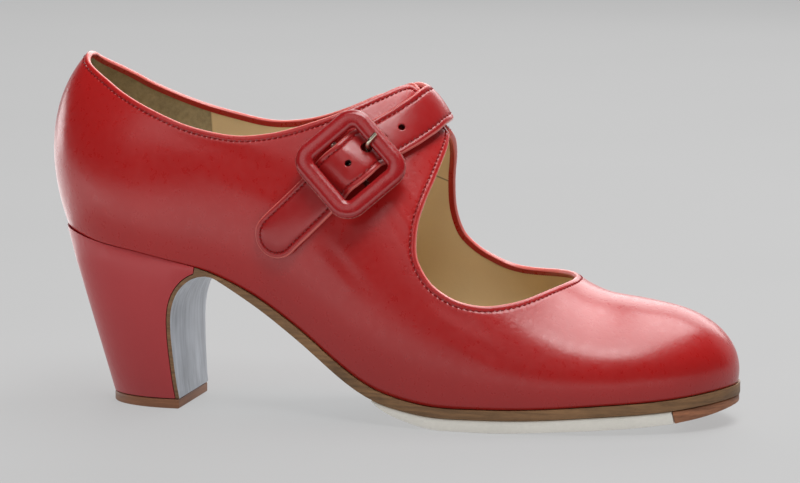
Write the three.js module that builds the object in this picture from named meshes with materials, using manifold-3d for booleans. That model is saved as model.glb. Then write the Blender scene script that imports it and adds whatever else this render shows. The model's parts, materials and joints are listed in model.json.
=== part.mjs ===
// Strapped flamenco shoe, right foot. Millimetres, heel to toe along +X, inner side of the foot on +Y, up is +Z.
// The origin is the middle of the heel tip's ground face.
import * as THREE from 'three';
import { mergeVertices } from 'three/addons/utils/BufferGeometryUtils.js';
import Module from 'manifold-3d';

const wasm = await Module();
wasm.setup();

// Driving sizes
const BACK = -29.2; // rearmost point of the upper where it meets the heel
const FEATHER_LENGTH = 233.2;
const BALL_HALF = 39; // half of the width at the ball
const FLAT_FROM = 0.593; // the walking face is flat between these shares of the feather's length
const FLAT_TO = 0.674;
const PAD_START = 0.4914; // where the walking layer starts and the toe piece follows it
const TOE_PIECE = 0.9228;
const HEEL_RISE = 52; // seat at the back above the seat at the ball
const TOE_SPRING = 6;
const TOE_BOX = 29.2; // ridge above the seat at the toe
const INSTEP = 100; // ridge above the seat at the instep
const WALL = 2;
const GAP = 0.3; // between curved pieces that meet
const SOLE = 3.2;
const PAD = 4; // walking layer under the ball
const FLAP = 1.3; // the sole's thin end down the front of the heel
const INSOLE = 2.2;
const TIP_HEIGHT = 3.3;
const TIP_FRONT = 14;
const TIP_BACK = -13.6;
const TIP_HALF = 18.1;
const SEAT_HALF = 25.4;
const HEEL_RAKE = 0.265; // how fast the heel's back leans out with height
const STRAP_THICK = 2.1;
const STRAP_HALF = 7.9;
const FRAME_LIFT = 6.4; // middle of the buckle's bars above the upper
const FRAME_HALF_LONG = 12; // middle line of the buckle's bars, along the strap
const FRAME_HALF_WIDE = 12.4;
const BAR_WIDE = 6;
const BAR_THICK = 4.4;

const FORE_HEIGHT = PAD + GAP + SOLE + GAP; // seat of the upper above the floor at the ball
const alongFeather = (share) => BACK + share * FEATHER_LENGTH;
const shareOf = (x) => (x - BACK) / FEATHER_LENGTH;

// A natural cubic through a table's columns, straight beyond both ends
function throughPoints(rows, key, value) {
  const xs = rows.map((r) => r[key]);
  const ys = rows.map((r) => r[value]);
  const n = xs.length;
  const h = xs.slice(1).map((x, i) => x - xs[i]);
  const low = new Array(n).fill(0);
  const mid = new Array(n).fill(1);
  const up = new Array(n).fill(0);
  const rhs = new Array(n).fill(0);
  for (let i = 1; i < n - 1; i += 1) {
    low[i] = h[i - 1];
    mid[i] = 2 * (h[i - 1] + h[i]);
    up[i] = h[i];
    rhs[i] = 6 * ((ys[i + 1] - ys[i]) / h[i] - (ys[i] - ys[i - 1]) / h[i - 1]);
  }
  for (let i = 1; i < n; i += 1) {
    const w = low[i] / mid[i - 1];
    mid[i] -= w * up[i - 1];
    rhs[i] -= w * rhs[i - 1];
  }
  const m = new Array(n).fill(0);
  for (let i = n - 1; i >= 0; i -= 1) {
    m[i] = (rhs[i] - up[i] * (m[i + 1] ?? 0)) / mid[i];
  }
  const startSlope = (ys[1] - ys[0]) / h[0] - (h[0] * (2 * m[0] + m[1])) / 6;
  const endSlope = (ys[n - 1] - ys[n - 2]) / h[n - 2] + (h[n - 2] * (m[n - 2] + 2 * m[n - 1])) / 6;
  return (x) => {
    if (x <= xs[0]) return ys[0] + (x - xs[0]) * startSlope;
    if (x >= xs[n - 1]) return ys[n - 1] + (x - xs[n - 1]) * endSlope;
    let i = 0;
    while (x > xs[i + 1]) i += 1;
    const a = (xs[i + 1] - x) / h[i];
    const b = (x - xs[i]) / h[i];
    return a * ys[i] + b * ys[i + 1] + (((a ** 3 - a) * m[i] + (b ** 3 - b) * m[i + 1]) * h[i] ** 2) / 6;
  };
}

// Seat of the upper from the back to the toe: a share of the heel's rise, and of the toe spring
const SEAT = [
  { at: -0.0249, rise: 1.071, spring: 0 },
  { at: 0.0206, rise: 1.0173, spring: 0 },
  { at: 0.0652, rise: 0.9654, spring: 0 },
  { at: 0.1252, rise: 0.9154, spring: 0 },
  { at: 0.1797, rise: 0.8615, spring: 0 },
  { at: 0.2281, rise: 0.8077, spring: 0 },
  { at: 0.2744, rise: 0.7212, spring: 0 },
  { at: 0.3109, rise: 0.6346, spring: 0 },
  { at: 0.3478, rise: 0.5288, spring: 0 },
  { at: 0.3846, rise: 0.4135, spring: 0 },
  { at: 0.4228, rise: 0.2846, spring: 0 },
  { at: 0.461, rise: 0.1673, spring: 0 },
  { at: 0.4987, rise: 0.0827, spring: 0 },
  { at: 0.536, rise: 0.0365, spring: 0 },
  { at: 0.5755, rise: 0.0067, spring: 0 },
  { at: 0.6398, rise: 0, spring: 0 },
  { at: 0.6998, rise: 0, spring: 0.05 },
  { at: 0.7427, rise: 0, spring: 0.133 },
  { at: 0.7856, rise: 0, spring: 0.25 },
  { at: 0.8263, rise: 0, spring: 0.367 },
  { at: 0.8671, rise: 0, spring: 0.467 },
  { at: 0.9057, rise: 0, spring: 0.583 },
  { at: 0.9464, rise: 0, spring: 0.75 },
  { at: 0.9828, rise: 0, spring: 0.933 },
  { at: 1.0043, rise: 0, spring: 1.02 },
];
const seatRise = throughPoints(SEAT, 'at', 'rise');
const seatSpring = throughPoints(SEAT, 'at', 'spring');
const seat = (x) => FORE_HEIGHT + HEEL_RISE * seatRise(shareOf(x)) + TOE_SPRING * seatSpring(shareOf(x));

// Ridge over the foot: the share of the way from the toe box to the instep height
const RIDGE = [
  { at: 0.0695, height: 0.586 },
  { at: 0.1895, height: 0.717 },
  { at: 0.3053, height: 0.84 },
  { at: 0.4039, height: 1.009 },
  { at: 0.4683, height: 1.058 },
  { at: 0.5197, height: 0.997 },
  { at: 0.5712, height: 0.843 },
  { at: 0.6184, height: 0.656 },
  { at: 0.6655, height: 0.464 },
  { at: 0.7127, height: 0.285 },
  { at: 0.7642, height: 0.133 },
  { at: 0.7985, height: 0.068 },
  { at: 0.8392, height: 0.033 },
  { at: 0.8842, height: 0.002 },
];
const ridgeShare = throughPoints(RIDGE, 'at', 'height');
const ridge = (x) => seat(x) + TOE_BOX + (INSTEP - TOE_BOX) * ridgeShare(shareOf(x));
const ridgeSlope = (x) => ridge(x + 0.5) - ridge(x - 0.5);

// Stations from back to toe. at: share of the feather's length. outer, inner: feather half-widths as shares of
// the ball's. ridgeAt: where the rib reaches the ridge, along the feather. flare, crown: how far out the rib
// starts and how flat it arrives, as shares of the ball's. rise: how far up it starts, of its height.
// drop: how far it arrives from below, of its height, only where the opening is cut away.
const STATIONS = [
  { at: 0, outer: 0, inner: 0, ridgeAt: 0.0695, flareOut: 0.1744, flareIn: 0.1744, rise: 0.277, crown: 0.6846, drop: 0.27 },
  { at: 0.0235, outer: 0.397, inner: 0.397, ridgeAt: 0.0738, flareOut: 0.1949, flareIn: 0.1949, rise: 0.28, crown: 0.6846, drop: 0.26 },
  { at: 0.094, outer: 0.628, inner: 0.628, ridgeAt: 0.1252, flareOut: 0.2308, flareIn: 0.2308, rise: 0.29, crown: 0.6923, drop: 0.25 },
  { at: 0.188, outer: 0.662, inner: 0.641, ridgeAt: 0.1938, flareOut: 0.2308, flareIn: 0.2308, rise: 0.3, crown: 0.7436, drop: 0.22 },
  { at: 0.286, outer: 0.621, inner: 0.577, ridgeAt: 0.2882, flareOut: 0.2308, flareIn: 0.2308, rise: 0.31, crown: 0.7692, drop: 0.18 },
  { at: 0.385, outer: 0.679, inner: 0.59, ridgeAt: 0.3911, flareOut: 0.2308, flareIn: 0.2179, rise: 0.34, crown: 0.7179, drop: 0.12 },
  { at: 0.483, outer: 0.833, inner: 0.705, ridgeAt: 0.4854, flareOut: 0.2308, flareIn: 0.2308, rise: 0.38, crown: 0.5385, drop: 0.04 },
  { at: 0.577, outer: 0.949, inner: 0.846, ridgeAt: 0.5712, flareOut: 0.2179, flareIn: 0.2051, rise: 0.42, crown: 0.4103, drop: 0 },
  { at: 0.671, outer: 0.995, inner: 0.969, ridgeAt: 0.6569, flareOut: 0.1923, flareIn: 0.1923, rise: 0.46, crown: 0.359, drop: 0 },
  { at: 0.765, outer: 0.959, inner: 0.974, ridgeAt: 0.7384, flareOut: 0.1667, flareIn: 0.1667, rise: 0.52, crown: 0.3846, drop: 0 },
  { at: 0.855, outer: 0.846, inner: 0.872, ridgeAt: 0.8027, flareOut: 0.141, flareIn: 0.141, rise: 0.57, crown: 0.4359, drop: 0 },
  { at: 0.932, outer: 0.641, inner: 0.679, ridgeAt: 0.8499, flareOut: 0.1231, flareIn: 0.1231, rise: 0.58, crown: 0.4487, drop: 0 },
  { at: 0.981, outer: 0.346, inner: 0.372, ridgeAt: 0.8756, flareOut: 0.0923, flareIn: 0.0923, rise: 0.57, crown: 0.4359, drop: 0 },
  { at: 1, outer: 0, inner: 0, ridgeAt: 0.8842, flareOut: 0.0692, flareIn: 0.0692, rise: 0.54, crown: 0.4103, drop: 0 },
];
const TOE = STATIONS.length - 1; // station number of the toe's tip
const ROUND = 2 * TOE;

// A closed smooth curve through one column down the outer side and another back up the inner side
function aroundTheFoot(outerOf, innerOf) {
  const outer = STATIONS.map(outerOf);
  const inner = STATIONS.map(innerOf).slice(1, TOE).reverse();
  const values = outer.concat(inner);
  const n = values.length;
  let c = values.slice();
  for (let pass = 0; pass < 60; pass += 1) {
    const old = c;
    c = old.map((q, i) => (6 * values[i] - old[(i + n - 1) % n] - old[(i + 1) % n]) / 4);
  }
  return (u) => {
    const i = Math.floor(u);
    const t = u - i;
    const w = [(1 - t) ** 3 / 6, (3 * t ** 3 - 6 * t * t + 4) / 6, (-3 * t ** 3 + 3 * t * t + 3 * t + 1) / 6, t ** 3 / 6];
    return w.reduce((sum, q, k) => sum + q * c[(((i - 1 + k) % n) + n) % n], 0);
  };
}
const footX = aroundTheFoot((s) => alongFeather(s.at), (s) => alongFeather(s.at));
const footY = aroundTheFoot((s) => -s.outer * BALL_HALF, (s) => s.inner * BALL_HALF);
const footRidge = aroundTheFoot((s) => alongFeather(s.ridgeAt), (s) => alongFeather(s.ridgeAt));
const footFlare = aroundTheFoot((s) => s.flareOut * BALL_HALF, (s) => s.flareIn * BALL_HALF);
const footRise = aroundTheFoot((s) => s.rise, (s) => s.rise);
const footCrown = aroundTheFoot((s) => s.crown * BALL_HALF, (s) => s.crown * BALL_HALF);
const footDrop = aroundTheFoot((s) => s.drop, (s) => s.drop);

// The last: u runs round the foot from the back by the outer side, v runs up a rib from the feather to the ridge
function last(u, v) {
  const fx = footX(u);
  const fy = footY(u);
  const fz = seat(fx);
  const rx = footRidge(u);
  const rz = ridge(rx);
  const height = rz - fz;
  const away = Math.hypot(fx - rx, fy);
  const dx = (fx - rx) / away;
  const dy = fy / away;
  const drop = footDrop(u);
  const crown = footCrown(u);
  const follow = 1 - Math.min(1, Math.max(0, drop) * 10);
  const first = new THREE.Vector3(fx + dx * footFlare(u), fy + dy * footFlare(u), fz + footRise(u) * height);
  const second = new THREE.Vector3(
    rx + dx * crown,
    dy * crown,
    rz + ridgeSlope(rx) * dx * crown * follow - Math.max(0, drop) * height,
  );
  const w = 1 - v;
  return new THREE.Vector3(fx, fy, fz)
    .multiplyScalar(w ** 3)
    .addScaledVector(first, 3 * w * w * v)
    .addScaledVector(second, 3 * w * v * v)
    .addScaledVector(new THREE.Vector3(rx, 0, rz), v ** 3);
}

function lastNormal(u, v) {
  const e = 0.002;
  const vv = Math.min(0.97, Math.max(0.002, v));
  const du = last(u + e, vv).sub(last(u - e, vv));
  const dv = last(u, vv + e).sub(last(u, vv - e));
  return dv.cross(du).normalize().multiplyScalar(-1);
}

// The same surface by station and share across: -1 outer feather, 0 ridge, 1 inner feather
const across = (k, a) => (a < 0 ? last(k, 1 + a) : last(ROUND - k, 1 - a));
function acrossNormal(k, a) {
  const edge = 0.03;
  if (Math.abs(a) >= edge) return a < 0 ? lastNormal(k, 1 + a) : lastNormal(ROUND - k, 1 - a);
  const left = lastNormal(k, 1 - edge);
  const right = lastNormal(ROUND - k, 1 - edge);
  return left.lerp(right, (a + edge) / (2 * edge)).normalize();
}

// Solids
function solid(geometry) {
  const g = geometry.clone();
  g.deleteAttribute('normal');
  g.deleteAttribute('uv');
  const merged = mergeVertices(g, 1e-4);
  const mesh = new wasm.Mesh({
    numProp: 3,
    vertProperties: Float32Array.from(merged.attributes.position.array),
    triVerts: Uint32Array.from(merged.index.array),
  });
  return new wasm.Manifold(mesh);
}

function geometryOf(manifold) {
  const mesh = manifold.getMesh();
  const g = new THREE.BufferGeometry();
  g.setAttribute('position', new THREE.Float32BufferAttribute(Float32Array.from(mesh.vertProperties), 3));
  g.setIndex(Array.from(mesh.triVerts));
  g.computeVertexNormals();
  return g;
}

function fromTriangles(points, faces) {
  const g = new THREE.BufferGeometry();
  g.setAttribute('position', new THREE.Float32BufferAttribute(points.flatMap((p) => [p.x, p.y, p.z]), 3));
  g.setIndex(faces.flat());
  return g;
}

// A closed loft: rings of points in one order, capped by a triangulation of the given flat outline
function loft(rings, capOutline) {
  const n = rings[0].length;
  const points = rings.flat();
  const faces = [];
  for (let r = 0; r + 1 < rings.length; r += 1) {
    for (let i = 0; i < n; i += 1) {
      const j = (i + 1) % n;
      const a = r * n + i;
      const b = r * n + j;
      faces.push([a, b, b + n], [a, b + n, a + n]);
    }
  }
  const end = (rings.length - 1) * n;
  const cap = (ring) => THREE.ShapeUtils.triangulateShape(capOutline(ring), []);
  cap(rings[0]).forEach(([a, b, c]) => faces.push([a, c, b]));
  cap(rings[rings.length - 1]).forEach(([a, b, c]) => faces.push([end + a, end + b, end + c]));
  return fromTriangles(points, faces);
}
const flatXY = (ring) => ring.map((p) => new THREE.Vector2(p.x, p.y));

// A side profile in X and Z, pushed out across the shoe
function sideProfile(points, half) {
  const shape = new THREE.Shape(points.map((p) => new THREE.Vector2(p[0], p[1])));
  const g = new THREE.ExtrudeGeometry(shape, { depth: 2 * half, bevelEnabled: false, curveSegments: 1 });
  g.rotateX(Math.PI / 2);
  g.translate(0, half, 0);
  return solid(g);
}

// An outline seen from above, pushed up
function planOutline(points, low, high) {
  const shape = new THREE.Shape(points.map((p) => new THREE.Vector2(p[0], p[1])));
  const g = new THREE.ExtrudeGeometry(shape, { depth: high - low, bevelEnabled: false, curveSegments: 1 });
  g.translate(0, 0, low);
  return solid(g);
}

// Upper: the last's outside, an inside one wall in, and the bottom edge between them
const ROUND_STEPS = ROUND * 3;
const UP_STEPS = 13;
function upperShell() {
  const points = [];
  const faces = [];
  const row = (j, inside) => (inside ? (UP_STEPS + 1) * ROUND_STEPS : 0) + j * ROUND_STEPS;
  for (const inside of [false, true]) {
    for (let j = 0; j <= UP_STEPS; j += 1) {
      for (let i = 0; i < ROUND_STEPS; i += 1) {
        const half = ROUND_STEPS / 2;
        const side = j === UP_STEPS && i > half ? ROUND_STEPS - i : i;
        const u = (side * ROUND) / ROUND_STEPS;
        const v = j / UP_STEPS;
        const p = last(u, v);
        if (inside && j === UP_STEPS) {
          p.addScaledVector(acrossNormal(u, 0), -WALL);
        } else if (inside) {
          const n = lastNormal(u, v);
          if (j === 0) n.setZ(0).normalize();
          p.addScaledVector(n, -WALL);
          if (j === 0) p.z = seat(p.x);
        }
        points.push(p);
      }
    }
  }
  for (const inside of [false, true]) {
    for (let j = 0; j < UP_STEPS; j += 1) {
      for (let i = 0; i < ROUND_STEPS; i += 1) {
        const k = (i + 1) % ROUND_STEPS;
        const a = row(j, inside) + i;
        const b = row(j, inside) + k;
        const c = row(j + 1, inside) + k;
        const d = row(j + 1, inside) + i;
        if (inside) faces.push([a, c, b], [a, d, c]);
        else faces.push([a, b, c], [a, c, d]);
      }
    }
  }
  for (let i = 0; i < ROUND_STEPS; i += 1) {
    const k = (i + 1) % ROUND_STEPS;
    const a = row(0, false) + i;
    const b = row(0, false) + k;
    const c = row(0, true) + k;
    const d = row(0, true) + i;
    faces.push([a, c, b], [a, d, c]);
  }
  return solid(fromTriangles(points, faces));
}

// Collar edge by station: how far up the rib it lies on either side
const COLLAR = [
  { at: 0, outer: 0.869, inner: 0.869 },
  { at: 0.5, outer: 0.861, inner: 0.859 },
  { at: 1.1, outer: 0.807, inner: 0.807 },
  { at: 1.6, outer: 0.745, inner: 0.745 },
  { at: 2.1, outer: 0.672, inner: 0.667 },
  { at: 2.7, outer: 0.6, inner: 0.595 },
  { at: 3.3, outer: 0.545, inner: 0.548 },
  { at: 3.9, outer: 0.54, inner: 0.54 },
  { at: 4.5, outer: 0.576, inner: 0.573 },
  { at: 5.05, outer: 0.633, inner: 0.631 },
  { at: 5.6, outer: 0.718, inner: 0.722 },
  { at: 6.05, outer: 0.835, inner: 0.825 },
  { at: 6.36, outer: 0.978, inner: 0.978 },
];

// Throat edge from the instep down, round and forward to its tip on the ridge
const THROAT = [
  { outerAt: 7.07, outer: -0.022, innerAt: 7.07, inner: 0.022 },
  { outerAt: 7.09, outer: -0.148, innerAt: 7.07, inner: 0.14 },
  { outerAt: 7, outer: -0.313, innerAt: 7, inner: 0.278 },
  { outerAt: 6.86, outer: -0.441, innerAt: 6.88, inner: 0.42 },
  { outerAt: 6.78, outer: -0.523, innerAt: 6.85, inner: 0.512 },
  { outerAt: 6.78, outer: -0.59, innerAt: 6.92, inner: 0.57 },
  { outerAt: 6.95, outer: -0.64, innerAt: 7.12, inner: 0.596 },
  { outerAt: 7.22, outer: -0.659, innerAt: 7.4, inner: 0.6 },
  { outerAt: 7.6, outer: -0.653, innerAt: 7.75, inner: 0.586 },
  { outerAt: 8.02, outer: -0.608, innerAt: 8.1, inner: 0.538 },
  { outerAt: 8.47, outer: -0.503, innerAt: 8.5, inner: 0.44 },
  { outerAt: 8.85, outer: -0.35, innerAt: 8.88, inner: 0.3 },
  { outerAt: 9.18, outer: -0.16, innerAt: 9.2, inner: 0.13 },
  { outerAt: 9.33, outer: 0, innerAt: 9.33, inner: 0 },
];

function smooth(rows, count) {
  const curve = new THREE.CatmullRomCurve3(rows.map((r) => new THREE.Vector3(r[0], r[1], 0)), false, 'centripetal');
  return curve.getPoints(count).map((p) => [p.x, p.y]);
}

// The opening's edge as one loop: collar, a slit over the instep that the strap hides, and throat
function openingEdge() {
  const collarRows = COLLAR.slice(1).reverse().map((r) => [r.at, r.outer * 1]);
  collarRows.push([0, COLLAR[0].outer]);
  COLLAR.slice(1).forEach((r) => collarRows.push([-r.at, r.inner]));
  const collar = smooth(collarRows, 64).map(([u, v]) => ({ p: last(u, v), n: lastNormal(u, v) }));
  const throatRows = THROAT.map((r) => [r.outerAt, r.outer]);
  THROAT.slice(0, -1).reverse().forEach((r) => throatRows.push([r.innerAt, r.inner]));
  const throat = smooth(throatRows, 60).map(([k, a]) => ({ p: across(k, a), n: acrossNormal(k, a) }));
  const last0 = COLLAR[COLLAR.length - 1].at;
  const first1 = THROAT[0].outerAt;
  const slit = (side) => [1, 2, 3, 4].map((q) => {
    const k = last0 + ((first1 - last0) * q) / 5;
    return { p: across(k, side * 0.022), n: acrossNormal(k, side * 0.022) };
  });
  return collar.concat(slit(1), throat.reverse(), slit(-1).reverse());
}

function openingCutter() {
  const edge = openingEdge();
  const inner = edge.map(({ p, n }) => p.clone().addScaledVector(n, -4.5));
  const outer = edge.map(({ p, n }) => p.clone().addScaledVector(n, 4.5));
  const above = outer.map((p) => new THREE.Vector3(p.x, p.y, 170));
  const turn = THREE.ShapeUtils.area(flatXY(edge.map((q) => q.p)));
  const rings = [inner, outer, above];
  if (turn < 0) rings.forEach((ring) => ring.reverse());
  return solid(loft(rings, flatXY));
}

// Outline of the feather from above, moved out or in
function featherOutline(offset, steps) {
  const out = [];
  for (let i = 0; i < steps; i += 1) {
    const u = (i * ROUND) / steps;
    const e = 0.01;
    const tx = footX(u + e) - footX(u - e);
    const ty = footY(u + e) - footY(u - e);
    const size = Math.hypot(tx, ty);
    out.push([footX(u) + (ty / size) * offset, footY(u) - (tx / size) * offset]);
  }
  return out;
}

const range = (from, to, count) => Array.from({ length: count + 1 }, (_, i) => from + ((to - from) * i) / count);

// Front face of the heel, as the sole's thin end shows it. ahead: from the tip's front to the top of the arch.
// up: from the tip to the sole there.
const ARCH_TOP = 0.2436; // shares of the feather's length
const SHANK_START = 0.2796;
const SHEET_END = 0.2196; // where the thin end joins the sole
const BREAST = [
  { ahead: 0.0147, up: 0 },
  { ahead: -0.0294, up: 0.1015 },
  { ahead: -0.0955, up: 0.3437 },
  { ahead: -0.1249, up: 0.5397 },
  { ahead: -0.1029, up: 0.6896 },
  { ahead: -0.0147, up: 0.798 },
  { ahead: 0.1396, up: 0.8857 },
  { ahead: 0.3527, up: 0.9526 },
  { ahead: 0.5732, up: 0.9895 },
  { ahead: 0.779, up: 1.0033 },
];
function breastLine(count) {
  const low = TIP_HEIGHT + GAP;
  const top = alongFeather(ARCH_TOP);
  const rows = BREAST.map((r) => [
    TIP_FRONT + r.ahead * (top - TIP_FRONT),
    low + r.up * (soleBottom(top) - low),
  ]);
  for (const share of [ARCH_TOP, ARCH_TOP + 0.017, SHANK_START]) {
    rows.push([alongFeather(share), soleBottom(alongFeather(share))]);
  }
  return smooth(rows, count);
}
function offsetLine(line, distance) {
  return line.map((p, i) => {
    const a = line[Math.max(0, i - 1)];
    const b = line[Math.min(line.length - 1, i + 1)];
    const size = Math.hypot(b[0] - a[0], b[1] - a[1]);
    return [p[0] - ((b[1] - a[1]) / size) * distance, p[1] + ((b[0] - a[0]) / size) * distance];
  });
}

// The sole's thickness, measured upright: thin over the heel's arch, thickest on the slope of the shank
const SOLE_SHARE = [
  { at: 0.211, share: 0.36 },
  { at: 0.2453, share: 0.4 },
  { at: 0.2581, share: 0.52 },
  { at: 0.2925, share: 0.88 },
  { at: 0.331, share: 1.1 },
  { at: 0.3654, share: 1.22 },
  { at: 0.4039, share: 1.26 },
  { at: 0.4425, share: 1.27 },
  { at: 0.4811, share: 1.2 },
  { at: 0.5326, share: 1.06 },
  { at: 0.5755, share: 1 },
  { at: 0.7684, share: 1.02 },
  { at: 1.0043, share: 1.15 },
];
const soleShare = throughPoints(SOLE_SHARE, 'at', 'share');
const soleBottom = (x) => seat(x) - GAP - SOLE * soleShare(shareOf(x));

// The walking layer's thickness under the forepart, thin where it starts behind the ball
const PAD_SHARE = [
  { at: 0.4854, share: -0.048 },
  { at: 0.5026, share: 0.382 },
  { at: 0.5283, share: 0.693 },
  { at: 0.5583, share: 0.886 },
  { at: 0.5926, share: 1.021 },
  { at: 0.6741, share: 1.053 },
  { at: 0.747, share: 1.009 },
  { at: 0.8156, share: 1.069 },
  { at: 0.8799, share: 1.062 },
  { at: 0.9142, share: 1.04 },
  { at: 0.9443, share: 0.991 },
  { at: 0.9743, share: 0.881 },
  { at: 1.0129, share: 0.456 },
];
const padShare = throughPoints(PAD_SHARE, 'at', 'share');
function ground(x) {
  const share = shareOf(x);
  if (share >= FLAT_FROM && share <= FLAT_TO) return 0;
  return Math.max(0, soleBottom(x) - GAP - PAD * padShare(share));
}

function heelBlank(grow, frontAt) {
  const rings = [];
  const steps = 32;
  const full = FORE_HEIGHT + 0.81 * HEEL_RISE - TIP_HEIGHT;
  for (const share of [GAP / full, 0.165, 0.336, 0.507, 0.679, 0.85, 1, 1.34]) {
    const z = TIP_HEIGHT + share * full;
    const half = TIP_HALF + (SEAT_HALF - TIP_HALF) * Math.min(1, share ** 0.92) + grow;
    const back = TIP_BACK - HEEL_RAKE * (z - TIP_HEIGHT) - grow;
    const power = 2 + 0.75 * Math.min(1, Math.max(0, share));
    const ring = [];
    for (let i = 0; i <= steps; i += 1) {
      const angle = -Math.PI / 2 + (Math.PI * i) / steps;
      const cos = Math.max(0, Math.cos(angle));
      const sin = Math.sin(angle);
      const x = TIP_FRONT - 2 - (TIP_FRONT - 2 - back) * cos ** (2 / power);
      const y = half * Math.sign(sin) * Math.abs(sin) ** (2 / power);
      ring.push(new THREE.Vector3(x, -y, z));
    }
    ring.push(new THREE.Vector3(frontAt, -half, z));
    ring.unshift(new THREE.Vector3(frontAt, half, z));
    rings.push(ring);
  }
  if (THREE.ShapeUtils.area(flatXY(rings[0])) < 0) rings.forEach((ring) => ring.reverse());
  return solid(loft(rings, flatXY));
}

const toeEnd = alongFeather(1) + 4;
const breast = breastLine(48);
const flapBack = offsetLine(breast, FLAP);

// Sole: over the whole forepart and shank, then down the front of the heel as a thin end
function outsole() {
  const split = alongFeather(0.2367);
  const behind = flapBack.filter((p) => p[0] < alongFeather(SHEET_END) && p[1] < seat(p[0]) - GAP - 0.4);
  const corner = behind[behind.length - 1][0] + 0.6;
  const top = range(corner, toeEnd, 46).map((x) => [x, seat(x) - GAP]);
  const bottom = range(alongFeather(SHANK_START + 0.0043), toeEnd, 44).reverse().map((x) => [x, soleBottom(x)]);
  const profile = behind.concat(top, bottom, breast.slice().reverse());
  const body = sideProfile(profile, 60);
  const outline = planOutline(featherOutline(0.7, ROUND * 4), 0, 90);
  const front = outline.intersect(sideProfile([[split, 0], [toeEnd, 0], [toeEnd, 90], [split, 90]], 60));
  return body.intersect(front.add(heelBlank(0, split + 0.5)));
}

function underSole(from, to, outlineOffset, rearSlant, frontSlant) {
  const xs = range(from, to, Math.max(8, Math.round((to - from) / 2.4)));
  const top = xs.map((x) => [x, soleBottom(x) - GAP]);
  const shift = (x) => (x === to ? frontSlant : 0) + (x === from ? rearSlant : 0);
  const bottom = xs.slice().reverse().map((x) => [x + shift(x), ground(x)]);
  return sideProfile(top.concat(bottom), 60).intersect(planOutline(featherOutline(outlineOffset, ROUND * 4), -2, 60));
}

function heel() {
  const front = offsetLine(breast, FLAP + GAP).filter((p) => p[0] < alongFeather(SHEET_END) && p[1] < seat(p[0]) - GAP - 0.6);
  const corner = front[front.length - 1][0] + 0.3;
  const behind = BACK - 10.8;
  const top = range(corner, behind, 30).map((x) => [x, seat(x) - GAP]);
  const profile = front.concat(top, [[behind, TIP_HEIGHT + GAP]]);
  return heelBlank(0, alongFeather(ARCH_TOP)).intersect(sideProfile(profile, 60));
}

function heelTip() {
  const outline = [];
  const steps = 40;
  for (let i = 0; i <= steps; i += 1) {
    const angle = -Math.PI / 2 + (Math.PI * i) / steps;
    const sin = Math.sin(angle);
    outline.push([TIP_FRONT - 2 - (TIP_FRONT - 2 - TIP_BACK) * Math.cos(angle), -TIP_HALF * Math.sign(sin) * Math.abs(sin)]);
  }
  outline.push([TIP_FRONT, -TIP_HALF]);
  outline.unshift([TIP_FRONT, TIP_HALF]);
  return planOutline(outline.reverse(), 0, TIP_HEIGHT);
}

function insole() {
  const xs = range(BACK - 4.8, alongFeather(1) + 3, 52);
  const top = xs.map((x) => [x, seat(x) + INSOLE]);
  const bottom = xs.slice().reverse().map((x) => [x, seat(x)]);
  return sideProfile(top.concat(bottom), 60).intersect(planOutline(featherOutline(-WALL - GAP, ROUND * 3), 0, 90));
}

// Middle line of the strap: station, share across, from its seam on the inner quarter over the ridge to the tip
const STRAP = [
  { at: 5.5, across: 0.45 },
  { at: 6.02, across: 0.3 },
  { at: 6.44, across: 0.165 },
  { at: 6.73, across: 0 },
  { at: 6.65, across: -0.14 },
  { at: 6.48, across: -0.238 },
  { at: 6.21, across: -0.325 },
  { at: 5.92, across: -0.396 },
  { at: 5.74, across: -0.45 },
  { at: 5.5, across: -0.502 },
  { at: 5.23, across: -0.574 },
  { at: 4.96, across: -0.644 },
  { at: 4.72, across: -0.708 },
  { at: 4.42, across: -0.8 },
];
const BUCKLE_AT = 5.71; // station of the buckle's middle

// Underside of the strap above the upper, by distance from the buckle's middle towards the ridge in half lengths
// of the frame. lift: a share of the frame's own lift. tilt: how much more the collar side lifts, and the throat
// side less. half: share of half of the strap's width.
const LIFT = [
  { from: -5, lift: 0.0781, tilt: 0, half: 1 },
  { from: -2.5, lift: 0.0781, tilt: 0, half: 1 },
  { from: -1.5833, lift: 0.1094, tilt: 0, half: 1 },
  { from: -1.1667, lift: 0.1562, tilt: 0, half: 1 },
  { from: -0.875, lift: 0.2031, tilt: 0, half: 1 },
  { from: -0.5, lift: 0.6562, tilt: 0, half: 1 },
  { from: 0, lift: 0.9375, tilt: 0, half: 1 },
  { from: 0.5, lift: 0.6562, tilt: 0, half: 1 },
  { from: 0.875, lift: 0.2031, tilt: 0, half: 0.9873 },
  { from: 1.1667, lift: 0.1719, tilt: 0, half: 0.9747 },
  { from: 1.5, lift: 0.1719, tilt: 0.0156, half: 0.962 },
  { from: 2.1667, lift: 0.2969, tilt: 0.1094, half: 0.9241 },
  { from: 2.9167, lift: 0.4531, tilt: 0.2031, half: 0.8861 },
  { from: 3.6667, lift: 0.2969, tilt: 0.0937, half: 0.8987 },
  { from: 4.5, lift: 0.0937, tilt: 0, half: 0.9241 },
  { from: 6.6667, lift: 0.0781, tilt: 0, half: 0.9241 },
];
const liftShare = throughPoints(LIFT, 'from', 'lift');
const tiltShare = throughPoints(LIFT, 'from', 'tilt');
const halfShare = throughPoints(LIFT, 'from', 'half');
const liftAt = (from) => FRAME_LIFT * liftShare(from / FRAME_HALF_LONG);
const tiltAt = (from) => FRAME_LIFT * tiltShare(from / FRAME_HALF_LONG);
const halfAt = (from) => STRAP_HALF * halfShare(from / FRAME_HALF_LONG);

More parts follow.
